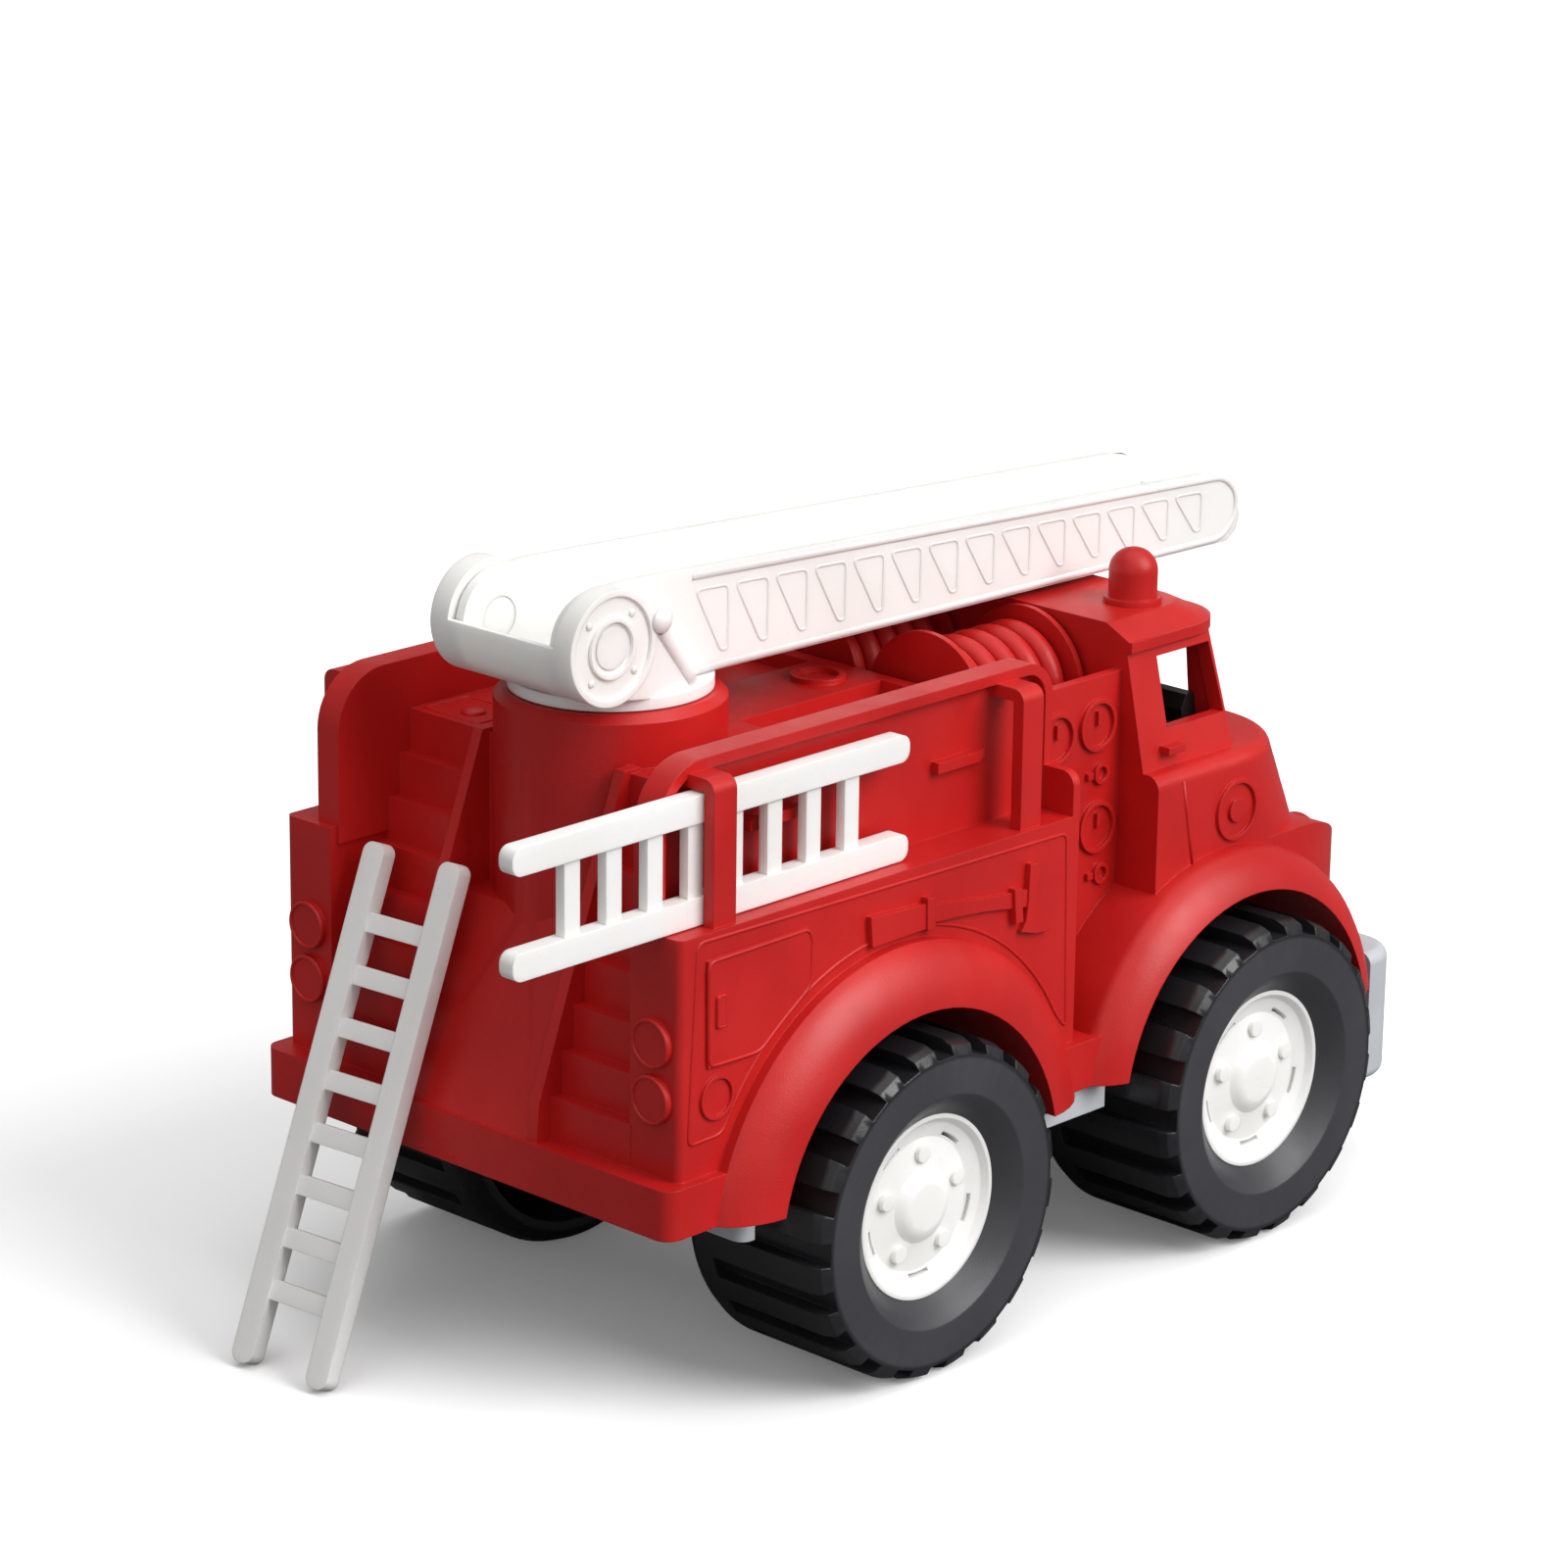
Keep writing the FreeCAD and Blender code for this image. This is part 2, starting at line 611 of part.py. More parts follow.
def build_greenhouse(body):
    """The upper cab that leans inwards, under a wider roof with a low crown."""
    rear = size("cab_rear")
    eave = size("eave")

    def pane(half, front):
        return lambda sketch: draw_box(sketch, (-half, front), (half, rear), {0: 4.5, 1: 4.5})
    loft(body, "upper_cab", size("belt") - 2.0, eave, pane(size("pane_half_low"), size("screen_low_at")),
         pane(size("pane_half_high"), size("screen_high_at")))

    def cover(inset, radius):
        edge = size("roof_half") - inset
        return lambda sketch: draw_box(
            sketch, (-edge, size("roof_front") + inset), (edge, rear), {0: radius, 1: radius})
    brim = size("brim_top")
    extrude(body, "roof_brim", "XY", eave - 0.2, brim, cover(0.0, 16.0))
    crown = loft(body, "roof_crown", brim, size("roof_top"), cover(0.8, 15.2), cover(8.0, 10.0))
    top = size("roof_top")
    soften(body, "roof_dome", crown, lambda box: at(box.ZMin, top) and at(box.ZMax, top)
           and box.YMin < number(rear) - 0.1, 2.0)


def hollow_cab(body):
    """The space inside the cab and nose, and the window openings."""
    rear = size("cab_rear")
    wall = size("wall")
    belt = size("belt")
    eave = size("eave")
    inner = size("cab_half") - wall - 3.0
    below = size("sill_bottom") - 1.0
    narrow = size("well_inner") - 3.5
    lean = size("lean_from")

    def outline(half, nose, radius):
        return lambda sketch: draw_box(sketch, (-half, nose), (half, rear - wall), {0: radius, 1: radius})
    back = size("nose_at") + 5.5
    extrude(body, "hollow_hood", "XY", below, lean, outline(inner, back, 24.5), cut=True)
    loft(body, "hollow_bonnet", lean - 0.5, belt - 3.0, outline(inner, back, 24.5),
         outline(inner + 0.8, size("bonnet_front") + 4.0, 21.5), cut=True)

    def under_nose(sketch):
        draw_polygon(sketch, [
            (-110.0, below), (-110.0, 90.5), (-119.0, 90.0), (-127.5, 86.0), (-134.5, 80.0),
            (-139.8, 72.5), (-143.0, 65.0), (-143.8, below)])
    extrude(body, "hollow_nose", "YZ", -narrow, narrow, under_nose, cut=True)

    def pane(half, front):
        edge = half - 2.8
        return lambda sketch: draw_box(sketch, (-edge, front + 2.8), (edge, rear - wall), {0: 2.5, 1: 2.5})
    loft(body, "hollow_upper", belt - 4.0, eave - 2.6, pane(size("pane_half_low"), size("screen_low_at")),
         pane(size("pane_half_high"), size("screen_high_at")), cut=True)

    extrude(body, "hollow_roof", "XY", eave - 5.0, size("brim_top"), lambda sketch: draw_box(
        sketch, (-45.0, size("screen_high_at") + 3.0), (45.0, rear - wall), {0: 5.0, 1: 5.0}), cut=True)
    extrude(body, "beacon_hole", "XY", 145.0, size("roof_top") + 1.0, lambda sketch: draw_circle(
        sketch, (size("beacon_side"), size("beacon_at")), size("beacon_stem")), cut=True)

    def side_window(sketch):
        draw_polygon(sketch, [(-65.2, 126.6), (-86.4, 126.6), (-84.2, 143.8), (-64.8, 143.8)])
    extrude(body, "side_windows", "YZ", -62.0, 62.0, side_window, cut=True)

    def windscreen(sketch):
        draw_box(sketch, (-43.0, 123.8), (43.0, 143.4), {0: 2.5, 1: 2.5, 2: 2.5, 3: 2.5})
    extrude(body, "windscreen", "XZ", -100.0, -80.0, windscreen, cut=True)


def draw_corner(sketch, side, half, radius, front):
    """The waste outside a rounded front corner."""
    half, radius, front = number(half), number(radius), number(front)
    centre = (half - radius, front + radius)
    slant = radius * math.sqrt(0.5)
    places = [(half, centre[1]), (half + 1.0, centre[1]), (half + 1.0, front - 1.0), (centre[0], front - 1.0),
              (centre[0], front)]
    chain = [vector((u * side, v)) for u, v in places]
    for first, last in zip(chain, chain[1:]):
        sketch.addGeometry(Part.LineSegment(first, last), False)
    middle = vector(((centre[0] + slant) * side, centre[1] - slant))
    sketch.addGeometry(Part.Arc(chain[-1], middle, chain[0]), False)


def build_details(body):
    """Shallow raised details of the moulding."""
    build_locker_side(body)
    build_cab_side(body)
    build_nose(body)


def build_gauges(body):
    """Pump gauges and valves behind the cab, and the round lamps at the rear."""
    core = size("core_half")
    dials = ((-31.2, 129.8), (-46.0, 130.3), (-46.6, 105.1))
    valves = ((-37.0, 118.1), (-47.6, 118.2), (-48.4, 93.3))

    def gauges(sketch):
        for along, height in dials:
            draw_circle(sketch, (along, height), 6.4)
            draw_circle(sketch, (along, height), 5.3)
            draw_box(sketch, (along - 0.5, height), (along + 0.5, height + 3.4))
        for along, height in valves:
            draw_circle(sketch, (along, height), 2.7)
            draw_circle(sketch, (along, height), 1.6)
            draw_box(sketch, (along + 3.2, height - 0.8), (along + 5.2, height + 0.8))
    extrude(body, "gauges", "YZ", -core - 1.0, core + 1.0, gauges)

    def lamps(sketch):
        for _, side in SIDES:
            for height in (92.0, 79.0):
                draw_circle(sketch, (55.8 * side, height), 5.7)
    rear = size("locker_rear")
    extrude(body, "lamps", "XZ", rear - 0.5, rear + 1.2, lamps)


def build_locker_side(body):
    """Locker door with its latch, the filler cap and the axe in its two straps."""
    face = size("locker_half")
    door = [(100.3, 110.5), (68.6, 110.8), (67.3, 108.4), (67.7, 97.1), (76.9, 90.9), (83.8, 85.7),
            (100.0, 86.0)]
    grip = [(49.6, 108.8), (31.4, 107.8), (30.9, 101.9), (48.9, 101.6)]
    straps = ([(31.4, 109.2), (28.7, 108.8), (28.5, 101.3), (31.2, 101.5)],
              [(1.6, 104.4), (-0.9, 104.1), (-1.6, 96.0), (0.9, 96.0)])
    shaft = [(28.7, 107.0), (18.4, 105.5), (10.8, 104.3), (1.9, 103.5), (-4.5, 103.0), (-4.5, 98.8),
             (1.1, 99.6), (10.7, 101.1), (19.8, 102.0), (28.5, 102.6)]
    head = [(-4.1, 109.1), (-6.9, 108.9), (-7.7, 104.9), (-6.6, 101.3), (-7.3, 97.4), (-11.6, 91.5),
            (-6.6, 91.9), (-1.6, 93.4), (-3.1, 95.7), (-3.8, 100.4), (-3.9, 104.6)]
    for name, rise, outlines in (("axe_shaft", 1.1, (shaft,)), ("axe_blade", 1.5, (grip, head)),
                                 ("axe_straps", 1.9, straps)):
        extrude(body, name, "YZ", -face - rise, face + rise, lambda sketch: [
            draw_polygon(sketch, outline) for outline in outlines])
    for label, side in SIDES:
        def door_and_cap(sketch):
            draw_polygon(sketch, door)
            draw_circle(sketch, (96.8, 78.6), 5.2)
            draw_circle(sketch, (96.8, 78.6), 4.3)
        low, high = mirrored_levels(side, face - 0.8, face + 0.7)
        extrude(body, "locker_door_" + label, "YZ", low, high, door_and_cap)
        low, high = mirrored_levels(side, face - 0.8, face + 1.4)
        extrude(body, "latch_" + label, "YZ", low, high, lambda sketch: draw_box(
            sketch, (95.3, 95.0), (97.7, 102.0)))


def build_cab_side(body):
    """Door handle and a plain ring on each cab door."""
    face = size("cab_half")

    def ring(sketch):
        draw_circle(sketch, (-84.0, 104.0), 7.6)
        draw_circle(sketch, (-84.0, 104.0), 6.6)
        draw_circle(sketch, (-84.0, 104.0), 3.0)
    extrude(body, "door_rings", "YZ", -face - 0.8, face + 0.8, ring)
    extrude(body, "door_handles", "YZ", -face + 3.0, face - 3.0, lambda sketch: draw_box(
        sketch, (-67.6, 121.4), (-61.6, 123.2)))


def build_nose(body):
    """Round headlamps and a plain grille of level bars on the sloping nose."""
    bulge = number(size("apron_round"))
    crown = number(size("apron_top")) - bulge
    rear = number(size("apron_front")) + bulge

    def front_at(height):
        return rear - math.sqrt(bulge ** 2 - (height - crown) ** 2)

    thick = 2.6

    def bars(sketch):
        for index in range(4):
            low = 62.0 + 6.0 * index
            draw_polygon(sketch, [
                (-118.0, low), (front_at(low) - 1.4, low), (front_at(low + thick) - 1.4, low + thick),
                (-118.0, low + thick)])
    extrude(body, "grille_bars", "YZ", -19.0, 19.0, bars)

    def lamps(radii):
        def draw(sketch):
            for _, side in SIDES:
                for radius in radii:
                    draw_circle(sketch, (33.0 * side, 76.0), radius)
        return draw
    extrude(body, "headlamps", "XZ", -143.8, -118.0, lamps([6.4]))
    extrude(body, "headlamp_rims", "XZ", -145.4, -118.0, lamps([7.6, 6.2]))


# ---------------------------------------------------------------- chassis and running gear

def build_chassis():
    """The grey tray with axle bearings and the front bumper."""
    body = new_body("chassis")
    low = size("chassis_bottom")
    high = size("sill_bottom")
    beam = size("beam_half")
    half = size("chassis_half")
    rear_axle = size("rear_axle_at")
    front_axle = size("front_axle_at")
    clear = size("well_radius") - 1.5
    front = size("front_bumper")

    wide = size("front_bumper_half")
    foot = size("front_bumper_low")
    bar = extrude(body, "front_bar", "XY", foot, size("front_bumper_top"), lambda sketch: draw_box(
        sketch, (-wide, front), (wide, front + 14.0), {0: 11.0, 1: 11.0}))
    soften(body, "front_bar_edges", bar, lambda box: (
        at(box.ZMin, size("front_bumper_top")) or at(box.ZMax, size("front_bumper_low"))
    ) and box.ZLength < 0.1 and box.YMin < number(front) + 11.0, 3.0)
    extrude(body, "front_bar_hollow", "XZ", front + 3.0, front + 15.0, lambda sketch: draw_box(
        sketch, (-wide + 3.0, foot + 2.6), (wide - 3.0, size("front_bumper_top") - 2.6)), cut=True)
    extrude(body, "beam", "XY", low, high, lambda sketch: draw_box(
        sketch, (-beam, front + 2.0), (beam, size("chassis_rear"))))
    extrude(body, "middle_wing", "XY", low, high, lambda sketch: draw_box(
        sketch, (-half, front_axle + clear), (half, rear_axle - clear)))
    extrude(body, "rear_wing", "XY", low, high, lambda sketch: draw_box(
        sketch, (-half, rear_axle + clear), (half, size("chassis_rear")), {2: 3.0, 3: 3.0}))
    extrude(body, "tray", "XY", low + 3.0, high, lambda sketch: draw_box(
        sketch, (-beam + 3.0, front + 16.0), (beam - 3.0, size("chassis_rear") - 3.0)), cut=True)
    for label, axle in (("rear", rear_axle), ("front", front_axle)):
        for name, side in SIDES:
            near, far = mirrored_levels(side, beam - 10.0, beam)
            extrude(body, "bearing_%s_%s" % (label, name), "YZ", near, far, lambda sketch: draw_box(
                sketch, (axle - 9.0, size("axle_height") - 7.0), (axle + 9.0, high), {0: 5.0, 1: 5.0}))
        extrude(body, "bore_" + label, "YZ", -beam - 1.0, beam + 1.0, lambda sketch: draw_circle(
            sketch, (axle, size("axle_height")), size("axle_radius") + size("axle_play")), cut=True)
    return body


def build_axle(name, axle):
    """A plain rod that carries two wheels."""
    body = new_body(name)
    half = size("axle_half")
    rod = extrude(body, "rod", "YZ", -half, half, lambda sketch: draw_circle(
        sketch, (0.0, 0.0), size("axle_radius")))
    soften(body, "rod_ends", rod, lambda box: box.XLength < 0.1, 0.8, chamfer=True)
    body.Placement.Base = FreeCAD.Vector(0, number(axle), number(size("axle_height")))
    bind(body, "Placement.Base.y", axle)
    bind(body, "Placement.Base.z", size("axle_height"))
    return body


def build_hub(name, side, axle):
    """A white wheel centre: barrel, dished face, boss, five lugs and five slots."""
    body = new_body(name)
    rim = size("rim_radius")
    face = size("rim_face")

    def section(sketch):
        places = [
            (face - 34.0, size("axle_radius")), (face - 34.0, 8.0), (face - 6.0, 8.0),
            (face - 6.0, rim - 2.4), (face - 34.0, rim - 2.4), (face - 34.0, rim), (face + 0.3, rim),
            (face + 0.3, rim - 1.0),
            (face - 1.2, rim - 2.2), (face - 2.6, rim - 6.0), (face - 1.6, size("hub_boss") + 1.8),
            (face - 0.2, size("hub_boss")), (face + 0.4, size("hub_boss") - 1.6), (face + 0.4, 0.0),
            (size("axle_half") + 0.2, 0.0), (size("axle_half") + 0.2, size("axle_radius"))]
        draw_polygon(sketch, [(u * side, v) for u, v in places])
    turn(body, "barrel", "XY", (0.0, 0.0), 0.0, "H_Axis", section)

    low, high = mirrored_levels(side, face - 4.0, face - 0.9)

    def lugs(sketch):
        for i in range(5):
            angle = math.radians(90 + 72 * i)
            draw_circle(sketch, (12.4 * math.cos(angle), 12.4 * math.sin(angle)), 2.0)
    extrude(body, "lugs", "YZ", low, high, lugs)

    low, high = mirrored_levels(side, face - 8.0, face + 1.0)

    def slots(sketch):
        for i in range(5):
            draw_slot(sketch, 16.9, 0.45, math.radians(54 + 72 * i), math.radians(11))
    extrude(body, "slots", "YZ", low, high, slots, cut=True)
    place_on_axle(body, axle)
    return body


def draw_slot(sketch, radius, half_width, middle, half_angle):
    """A curved slot with straight ends."""
    corners = []
    for r in (radius - half_width, radius + half_width):
        corners.append([FreeCAD.Vector(r * math.cos(a), r * math.sin(a), 0)
                        for a in (middle - half_angle, middle, middle + half_angle)])
    inner, outer = corners
    sketch.addGeometry(Part.Arc(*inner), False)
    sketch.addGeometry(Part.Arc(*outer), False)
    sketch.addGeometry(Part.LineSegment(inner[0], outer[0]), False)
    sketch.addGeometry(Part.LineSegment(inner[2], outer[2]), False)


def place_on_axle(body, axle):
    """Stand a wheel part, drawn round the X axis, on its axle line."""
    body.Placement.Base = FreeCAD.Vector(0, number(axle), number(size("axle_height")))
    bind(body, "Placement.Base.y", axle)
    bind(body, "Placement.Base.z", size("axle_height"))


def build_tyre(name, side, axle):
    """A hollow-backed tyre with cross-cut tread blocks."""
    body = new_body(name)
    outer = size("tyre_outer")
    inner = size("tyre_inner")
    radius = size("tyre_radius")
    rim = size("rim_radius")
    face = size("rim_face")

    def section(sketch):
        places = [
            (inner, radius - 3.4), (inner + 1.2, radius - 1.2), (inner + 4.0, radius),
            (outer - 4.2, radius), (outer - 1.2, radius - 1.0), (outer, radius - 3.2),
            (outer, size("tyre_lip")),
            (outer - 1.2, size("tyre_lip") - 1.8), (face, rim), (face - 34.0, rim), (face - 34.0, rim + 2.2),
            (outer - 5.4, rim + 3.4), (outer - 5.4, radius - 6.0), (inner, radius - 6.0)]
        draw_polygon(sketch, [(u * side, v) for u, v in places])
    turn(body, "carcass", "XY", (0.0, 0.0), 0.0, "H_Axis", section)

    low, high = mirrored_levels(side, size("tread_end"), outer + 1.0)
    gap = size("tread_gap")
    depth = size("tread_depth")
    cut = extrude(body, "tread_gap", "YZ", low, high, lambda sketch: draw_box(
        sketch, (-gap / 2, radius - depth), (gap / 2, radius + 2.0)), cut=True)
    pattern = body.newObject("PartDesign::PolarPattern", "tread")
    pattern.Originals = [cut]
    pattern.Axis = (origin_feature(body, "X_Axis"), [""])
    pattern.Angle = 360
    pattern.Occurrences = int(number(size("tread_count")))
    body.Tip = pattern
    place_on_axle(body, axle)
    return body


# ---------------------------------------------------------------- turret parts

def build_turntable():
    """The white turntable: base, spigot, rear scoop and two cheeks."""
    body = new_body("turntable")
    pivot = (size("pivot_at"), size("pivot_height"))
    cheek_in = size("cheek_in")
    cheek_out = size("cheek_out")
    low = size("base_low")
    top = size("base_top")
    centre = (0.0, size("turret_at"))

    extrude(body, "scoop", "YZ", -cheek_in - 0.5, cheek_in + 0.5, lambda sketch: draw_circle(
        sketch, pivot, size("cheek_radius")))
    extrude(body, "scoop_hollow", "YZ", -cheek_in, cheek_in, lambda sketch: draw_circle(
        sketch, pivot, size("scoop_inner")), cut=True)

    def scoop_mouth(sketch):
        draw_polygon(sketch, [
            (pivot[0] - 20.0, top - 0.1), (pivot[0] - 4.0, top - 0.1), (pivot[0] - 4.0, pivot[1] + 1.4),
            (pivot[0] + 20.0, pivot[1] + 1.4), (pivot[0] + 20.0, pivot[1] + 20.0),
            (pivot[0] - 20.0, pivot[1] + 20.0)])
    extrude(body, "scoop_mouth", "YZ", -cheek_in - 1.0, cheek_in + 1.0, scoop_mouth, cut=True)
    extrude(body, "base", "XY", low, top, lambda sketch: draw_circle(sketch, centre, size("base_radius")))
    extrude(body, "spigot", "XY", 141.6, low + 0.5, lambda sketch: draw_circle(
        sketch, centre, size("spigot_radius")))
    for label, side in SIDES:
        near, far = mirrored_levels(side, cheek_in, cheek_out)

        def web(sketch):
            draw_polygon(sketch, [
                (60.0, top - 0.6), (60.0, top), (61.0, 158.0), (71.0, 172.5), (74.5, 176.2), (79.0, 178.0),
                (88.0, 171.0), (86.0, 157.0), (73.0, top - 0.6)])
        extrude(body, "web_" + label, "YZ", near, far, web)
        extrude(body, "cheek_" + label, "YZ", near, far, lambda sketch: draw_circle(
            sketch, pivot, size("cheek_radius")))
        near, far = mirrored_levels(side, cheek_out - 0.5, cheek_out + 0.8)

        def rims(sketch):
            draw_circle(sketch, pivot, size("cheek_radius"))
            draw_circle(sketch, pivot, size("cheek_radius") - 1.5)
            draw_circle(sketch, pivot, 7.0)
            draw_circle(sketch, pivot, 5.9)
        extrude(body, "cheek_rims_" + label, "YZ", near, far, rims)
        near, far = mirrored_levels(side, cheek_in, cheek_out + 1.2)
        extrude(body, "knob_" + label, "YZ", near, far, lambda sketch: draw_circle(
            sketch, (72.8, 173.2), 3.0))
    far = size("cheek_out")
    extrude(body, "pivot_hole", "YZ", -far - 2.0, far + 2.0, lambda sketch: draw_circle(
        sketch, pivot, size("pin_radius")), cut=True)
    return body


def build_clip():
    """The ring under the turret top that keeps the spigot in."""
    body = new_body("turntable_clip")

    def ring(sketch):
        draw_circle(sketch, (0.0, size("turret_at")), 13.0)
        draw_circle(sketch, (0.0, size("turret_at")), size("spigot_radius"))
    top = size("turret_top") - size("turret_skin") - 0.3
    extrude(body, "ring", "XY", top - 3.0, top, ring)
    return body


def build_boom():
    """The open-topped ladder channel."""
    body = new_body("boom")
    half = size("boom_half")
    tip = size("boom_tip")
    pivot = (size("pivot_at"), size("pivot_height"))
    tail = size("boom_tail")

    def side_view(sketch):
        draw_polygon(sketch, [
            (tip + 5.0, 153.4), (54.0, 156.0), (76.5, 156.0), (80.0, 160.4), (pivot[0], pivot[1] - tail),
            (pivot[0], pivot[1] + tail), (80.0, 181.6), (70.0, 181.3), (tip + 14.0, 171.9),
            (tip + 7.0, 170.2), (tip + 2.0, 165.4), (tip, 159.6), (tip + 1.3, 155.8)])
    extrude(body, "channel", "YZ", -half, half, side_view)
    extrude(body, "tail", "YZ", -half, half, lambda sketch: draw_circle(sketch, pivot, tail))
    inner = half - size("boom_skin")

    def trough(sketch):
        draw_polygon(sketch, [
            (tip + 2.6, 156.2), (52.0, 158.9), (77.0, 159.4), (82.0, 161.4), (104.0, 161.4), (104.0, 190.0),
            (tip - 5.0, 190.0), (tip - 5.0, 163.0), (tip + 2.6, 163.0)])
    extrude(body, "trough", "YZ", -inner, inner, trough, cut=True)
    extrude(body, "pivot_bore", "YZ", -half - 1.0, half + 1.0, lambda sketch: draw_circle(
        sketch, pivot, size("pin_radius") + size("pin_play")), cut=True)
    return body


def build_pin(name, side):
    """A short pivot pin pressed into one cheek."""
    body = new_body(name)
    pivot = (size("pivot_at"), size("pivot_height"))
    near, far = mirrored_levels(side, size("boom_half") - size("boom_skin") + 0.2, size("cheek_out") + 0.3)
    extrude(body, "pin", "YZ", near, far, lambda sketch: draw_circle(sketch, pivot, size("pin_radius")))
    return body


# ---------------------------------------------------------------- loose ladders

def build_ladder(name, placement):
    """A ladder with two grooved stiles and eight rungs, drawn along X."""
    body = new_body(name)
    length = size("ladder_length")
    width = size("ladder_width")
    depth = size("ladder_depth")
    stile = size("stile_width")
    count = int(number(size("rung_count")))
    for label, side in SIDES:
        def outline(sketch):
            low, high = mirrored_levels(side, width / 2 - stile, width / 2)
            draw_box(sketch, (-length / 2, low), (length / 2, high), {0: 2.6, 1: 2.6, 2: 2.6, 3: 2.6})
        extrude(body, "stile_" + label, "XY", -depth / 2, depth / 2, outline)
    rung = size("rung_width")
    pitch = size("rung_pitch")
    first = pitch * (-(count - 1) / 2.0)
    reach = width / 2 - stile + 0.5
    depth = size("rung_depth") / 2
    bar = extrude(body, "rung", "XY", -depth, depth, lambda sketch: draw_box(
        sketch, (first - rung / 2, -reach), (first + rung / 2, reach)))
    pattern = body.newObject("PartDesign::LinearPattern", "rungs")
    pattern.Originals = [bar]
    pattern.Direction = (origin_feature(body, "X_Axis"), [""])
    pattern.Length = number(pitch) * (count - 1)
    bind(pattern, "Length", pitch * (count - 1))
    pattern.Occurrences = count
    body.Tip = pattern
    for label, side in SIDES:
        def groove(sketch):
            middle = (width / 2 - stile / 2) * side
            half = size("groove_width") / 2
            draw_box(sketch, (-length / 2 + 4.0, middle - half), (length / 2 - 4.0, middle + half))
        extrude(body, "groove_" + label, "XY", depth / 2 - size("groove_depth"), depth / 2, groove, cut=True)
    body.Placement = placement
    return body


def racked_placement():
    """Ladder length along the truck, width upright, against the right-hand rack."""
    turn_up = FreeCAD.Rotation(
        FreeCAD.Vector(0, 1, 0), FreeCAD.Vector(0, 0, 1), FreeCAD.Vector(-1, 0, 0), "XYZ")
    height = number(size("racked_foot")) + number(size("ladder_width")) / 2
    place = FreeCAD.Vector(number(size("racked_side")), number(size("racked_centre")), height)
    return FreeCAD.Placement(place, turn_up)


def leaning_placement():
    """Ladder standing on the ground behind the truck, turned a little and leaning on the stairs."""
    lean = math.radians(number(size("lean_angle")))
    twist = FreeCAD.Rotation(FreeCAD.Vector(0, 0, 1), number(size("lean_twist")))
    up = twist.multVec(FreeCAD.Vector(0, -math.sin(lean), math.cos(lean)))
    across = twist.multVec(FreeCAD.Vector(1, 0, 0))
    outward = twist.multVec(FreeCAD.Vector(0, math.cos(lean), math.sin(lean)))
    rotation = FreeCAD.Rotation(up, across, outward, "XYZ")
    lift = number(size("ladder_depth")) / 2 * outward.z
    foot = FreeCAD.Vector(number(size("lean_side")), number(size("lean_foot_at")), lift)
    return FreeCAD.Placement(foot + up * (number(size("ladder_length")) / 2), rotation)


def build_beacon():
    """The domed roof light with a flange and a stem."""
    body = new_body("beacon")
    place = (size("beacon_side"), size("beacon_at"))
    top = size("roof_top")
    radius = size("beacon_radius")
    extrude(body, "stem", "XY", top - 2.8, top, lambda sketch: draw_circle(
        sketch, place, size("beacon_stem")))
    extrude(body, "flange", "XY", top, top + 1.4, lambda sketch: draw_circle(
        sketch, place, size("beacon_flange")))
    dome = extrude(body, "dome", "XY", top + 1.0, top + size("beacon_height"), lambda sketch: draw_circle(
        sketch, place, radius))
    soften(body, "dome_round", dome, lambda box: at(box.ZMin, top + size("beacon_height")) and box.ZLength < 0.1,
           5.6)
    return body


def build_interior():
    """The black cab insert: base, dash and bench."""
    body = new_body("cab_interior")
    crown = size("axle_height") + size("well_radius") + 3.8
    narrow = size("well_inner") - 4.2
    wide = size("cab_half") - 8.0
    extrude(body, "pedestal", "XY", size("sill_bottom"), crown + 1.0, lambda sketch: draw_box(
        sketch, (-narrow, -110.0), (narrow, -62.0)))
    extrude(body, "pedestal_hollow", "XY", size("sill_bottom") - 1.0, crown - 3.0, lambda sketch: draw_box(
        sketch, (-narrow + 3.0, -107.0), (narrow - 3.0, -65.0)), cut=True)
    extrude(body, "floor", "XY", crown, crown + 3.0, lambda sketch: draw_box(
        sketch, (-wide, -104.0), (wide, -58.5)))

    def dash(sketch):
        draw_polygon(sketch, [
            (-100.0, crown), (-97.0, 112.4), (-87.2, 114.6), (-87.0, 127.5), (-85.6, 129.8), (-83.4, 129.4),
            (-81.6, 126.0), (-83.5, 112.0), (-83.5, crown), (-85.9, crown), (-85.9, 111.4), (-94.9, 110.2),
            (-97.4, crown)])
    extrude(body, "dash", "YZ", -45.0, 45.0, dash)

    def bench(sketch):
        draw_polygon(sketch, [
            (-78.0, crown), (-79.0, 104.0), (-66.0, 103.0), (-62.5, 122.0), (-59.5, 122.5), (-58.6, crown),
            (-61.2, crown), (-62.2, 112.0), (-64.0, 100.4), (-76.2, 101.2), (-75.4, crown)])
    extrude(body, "bench", "YZ", -46.0, 46.0, bench)
    return body


# ---------------------------------------------------------------- output

def check_and_export():
    DOCUMENT.recompute()
    for item in DOCUMENT.Objects:
        states = [str(state) for state in item.State]
        if "Invalid" in states or "Error" in states:
            raise RuntimeError("%s failed: %s" % (item.Name, states))
    os.makedirs("parts", exist_ok=True)
    for body in [item for item in DOCUMENT.Objects if item.TypeId == "PartDesign::Body"]:
        shape = body.Shape
        if shape.isNull() or not shape.isValid():
            raise RuntimeError("%s has no valid shape" % body.Label)
        shape.exportStep("parts/%s.step" % body.Label)
        print("%-20s solids %d volume %.0f" % (body.Label, len(shape.Solids), shape.Volume))


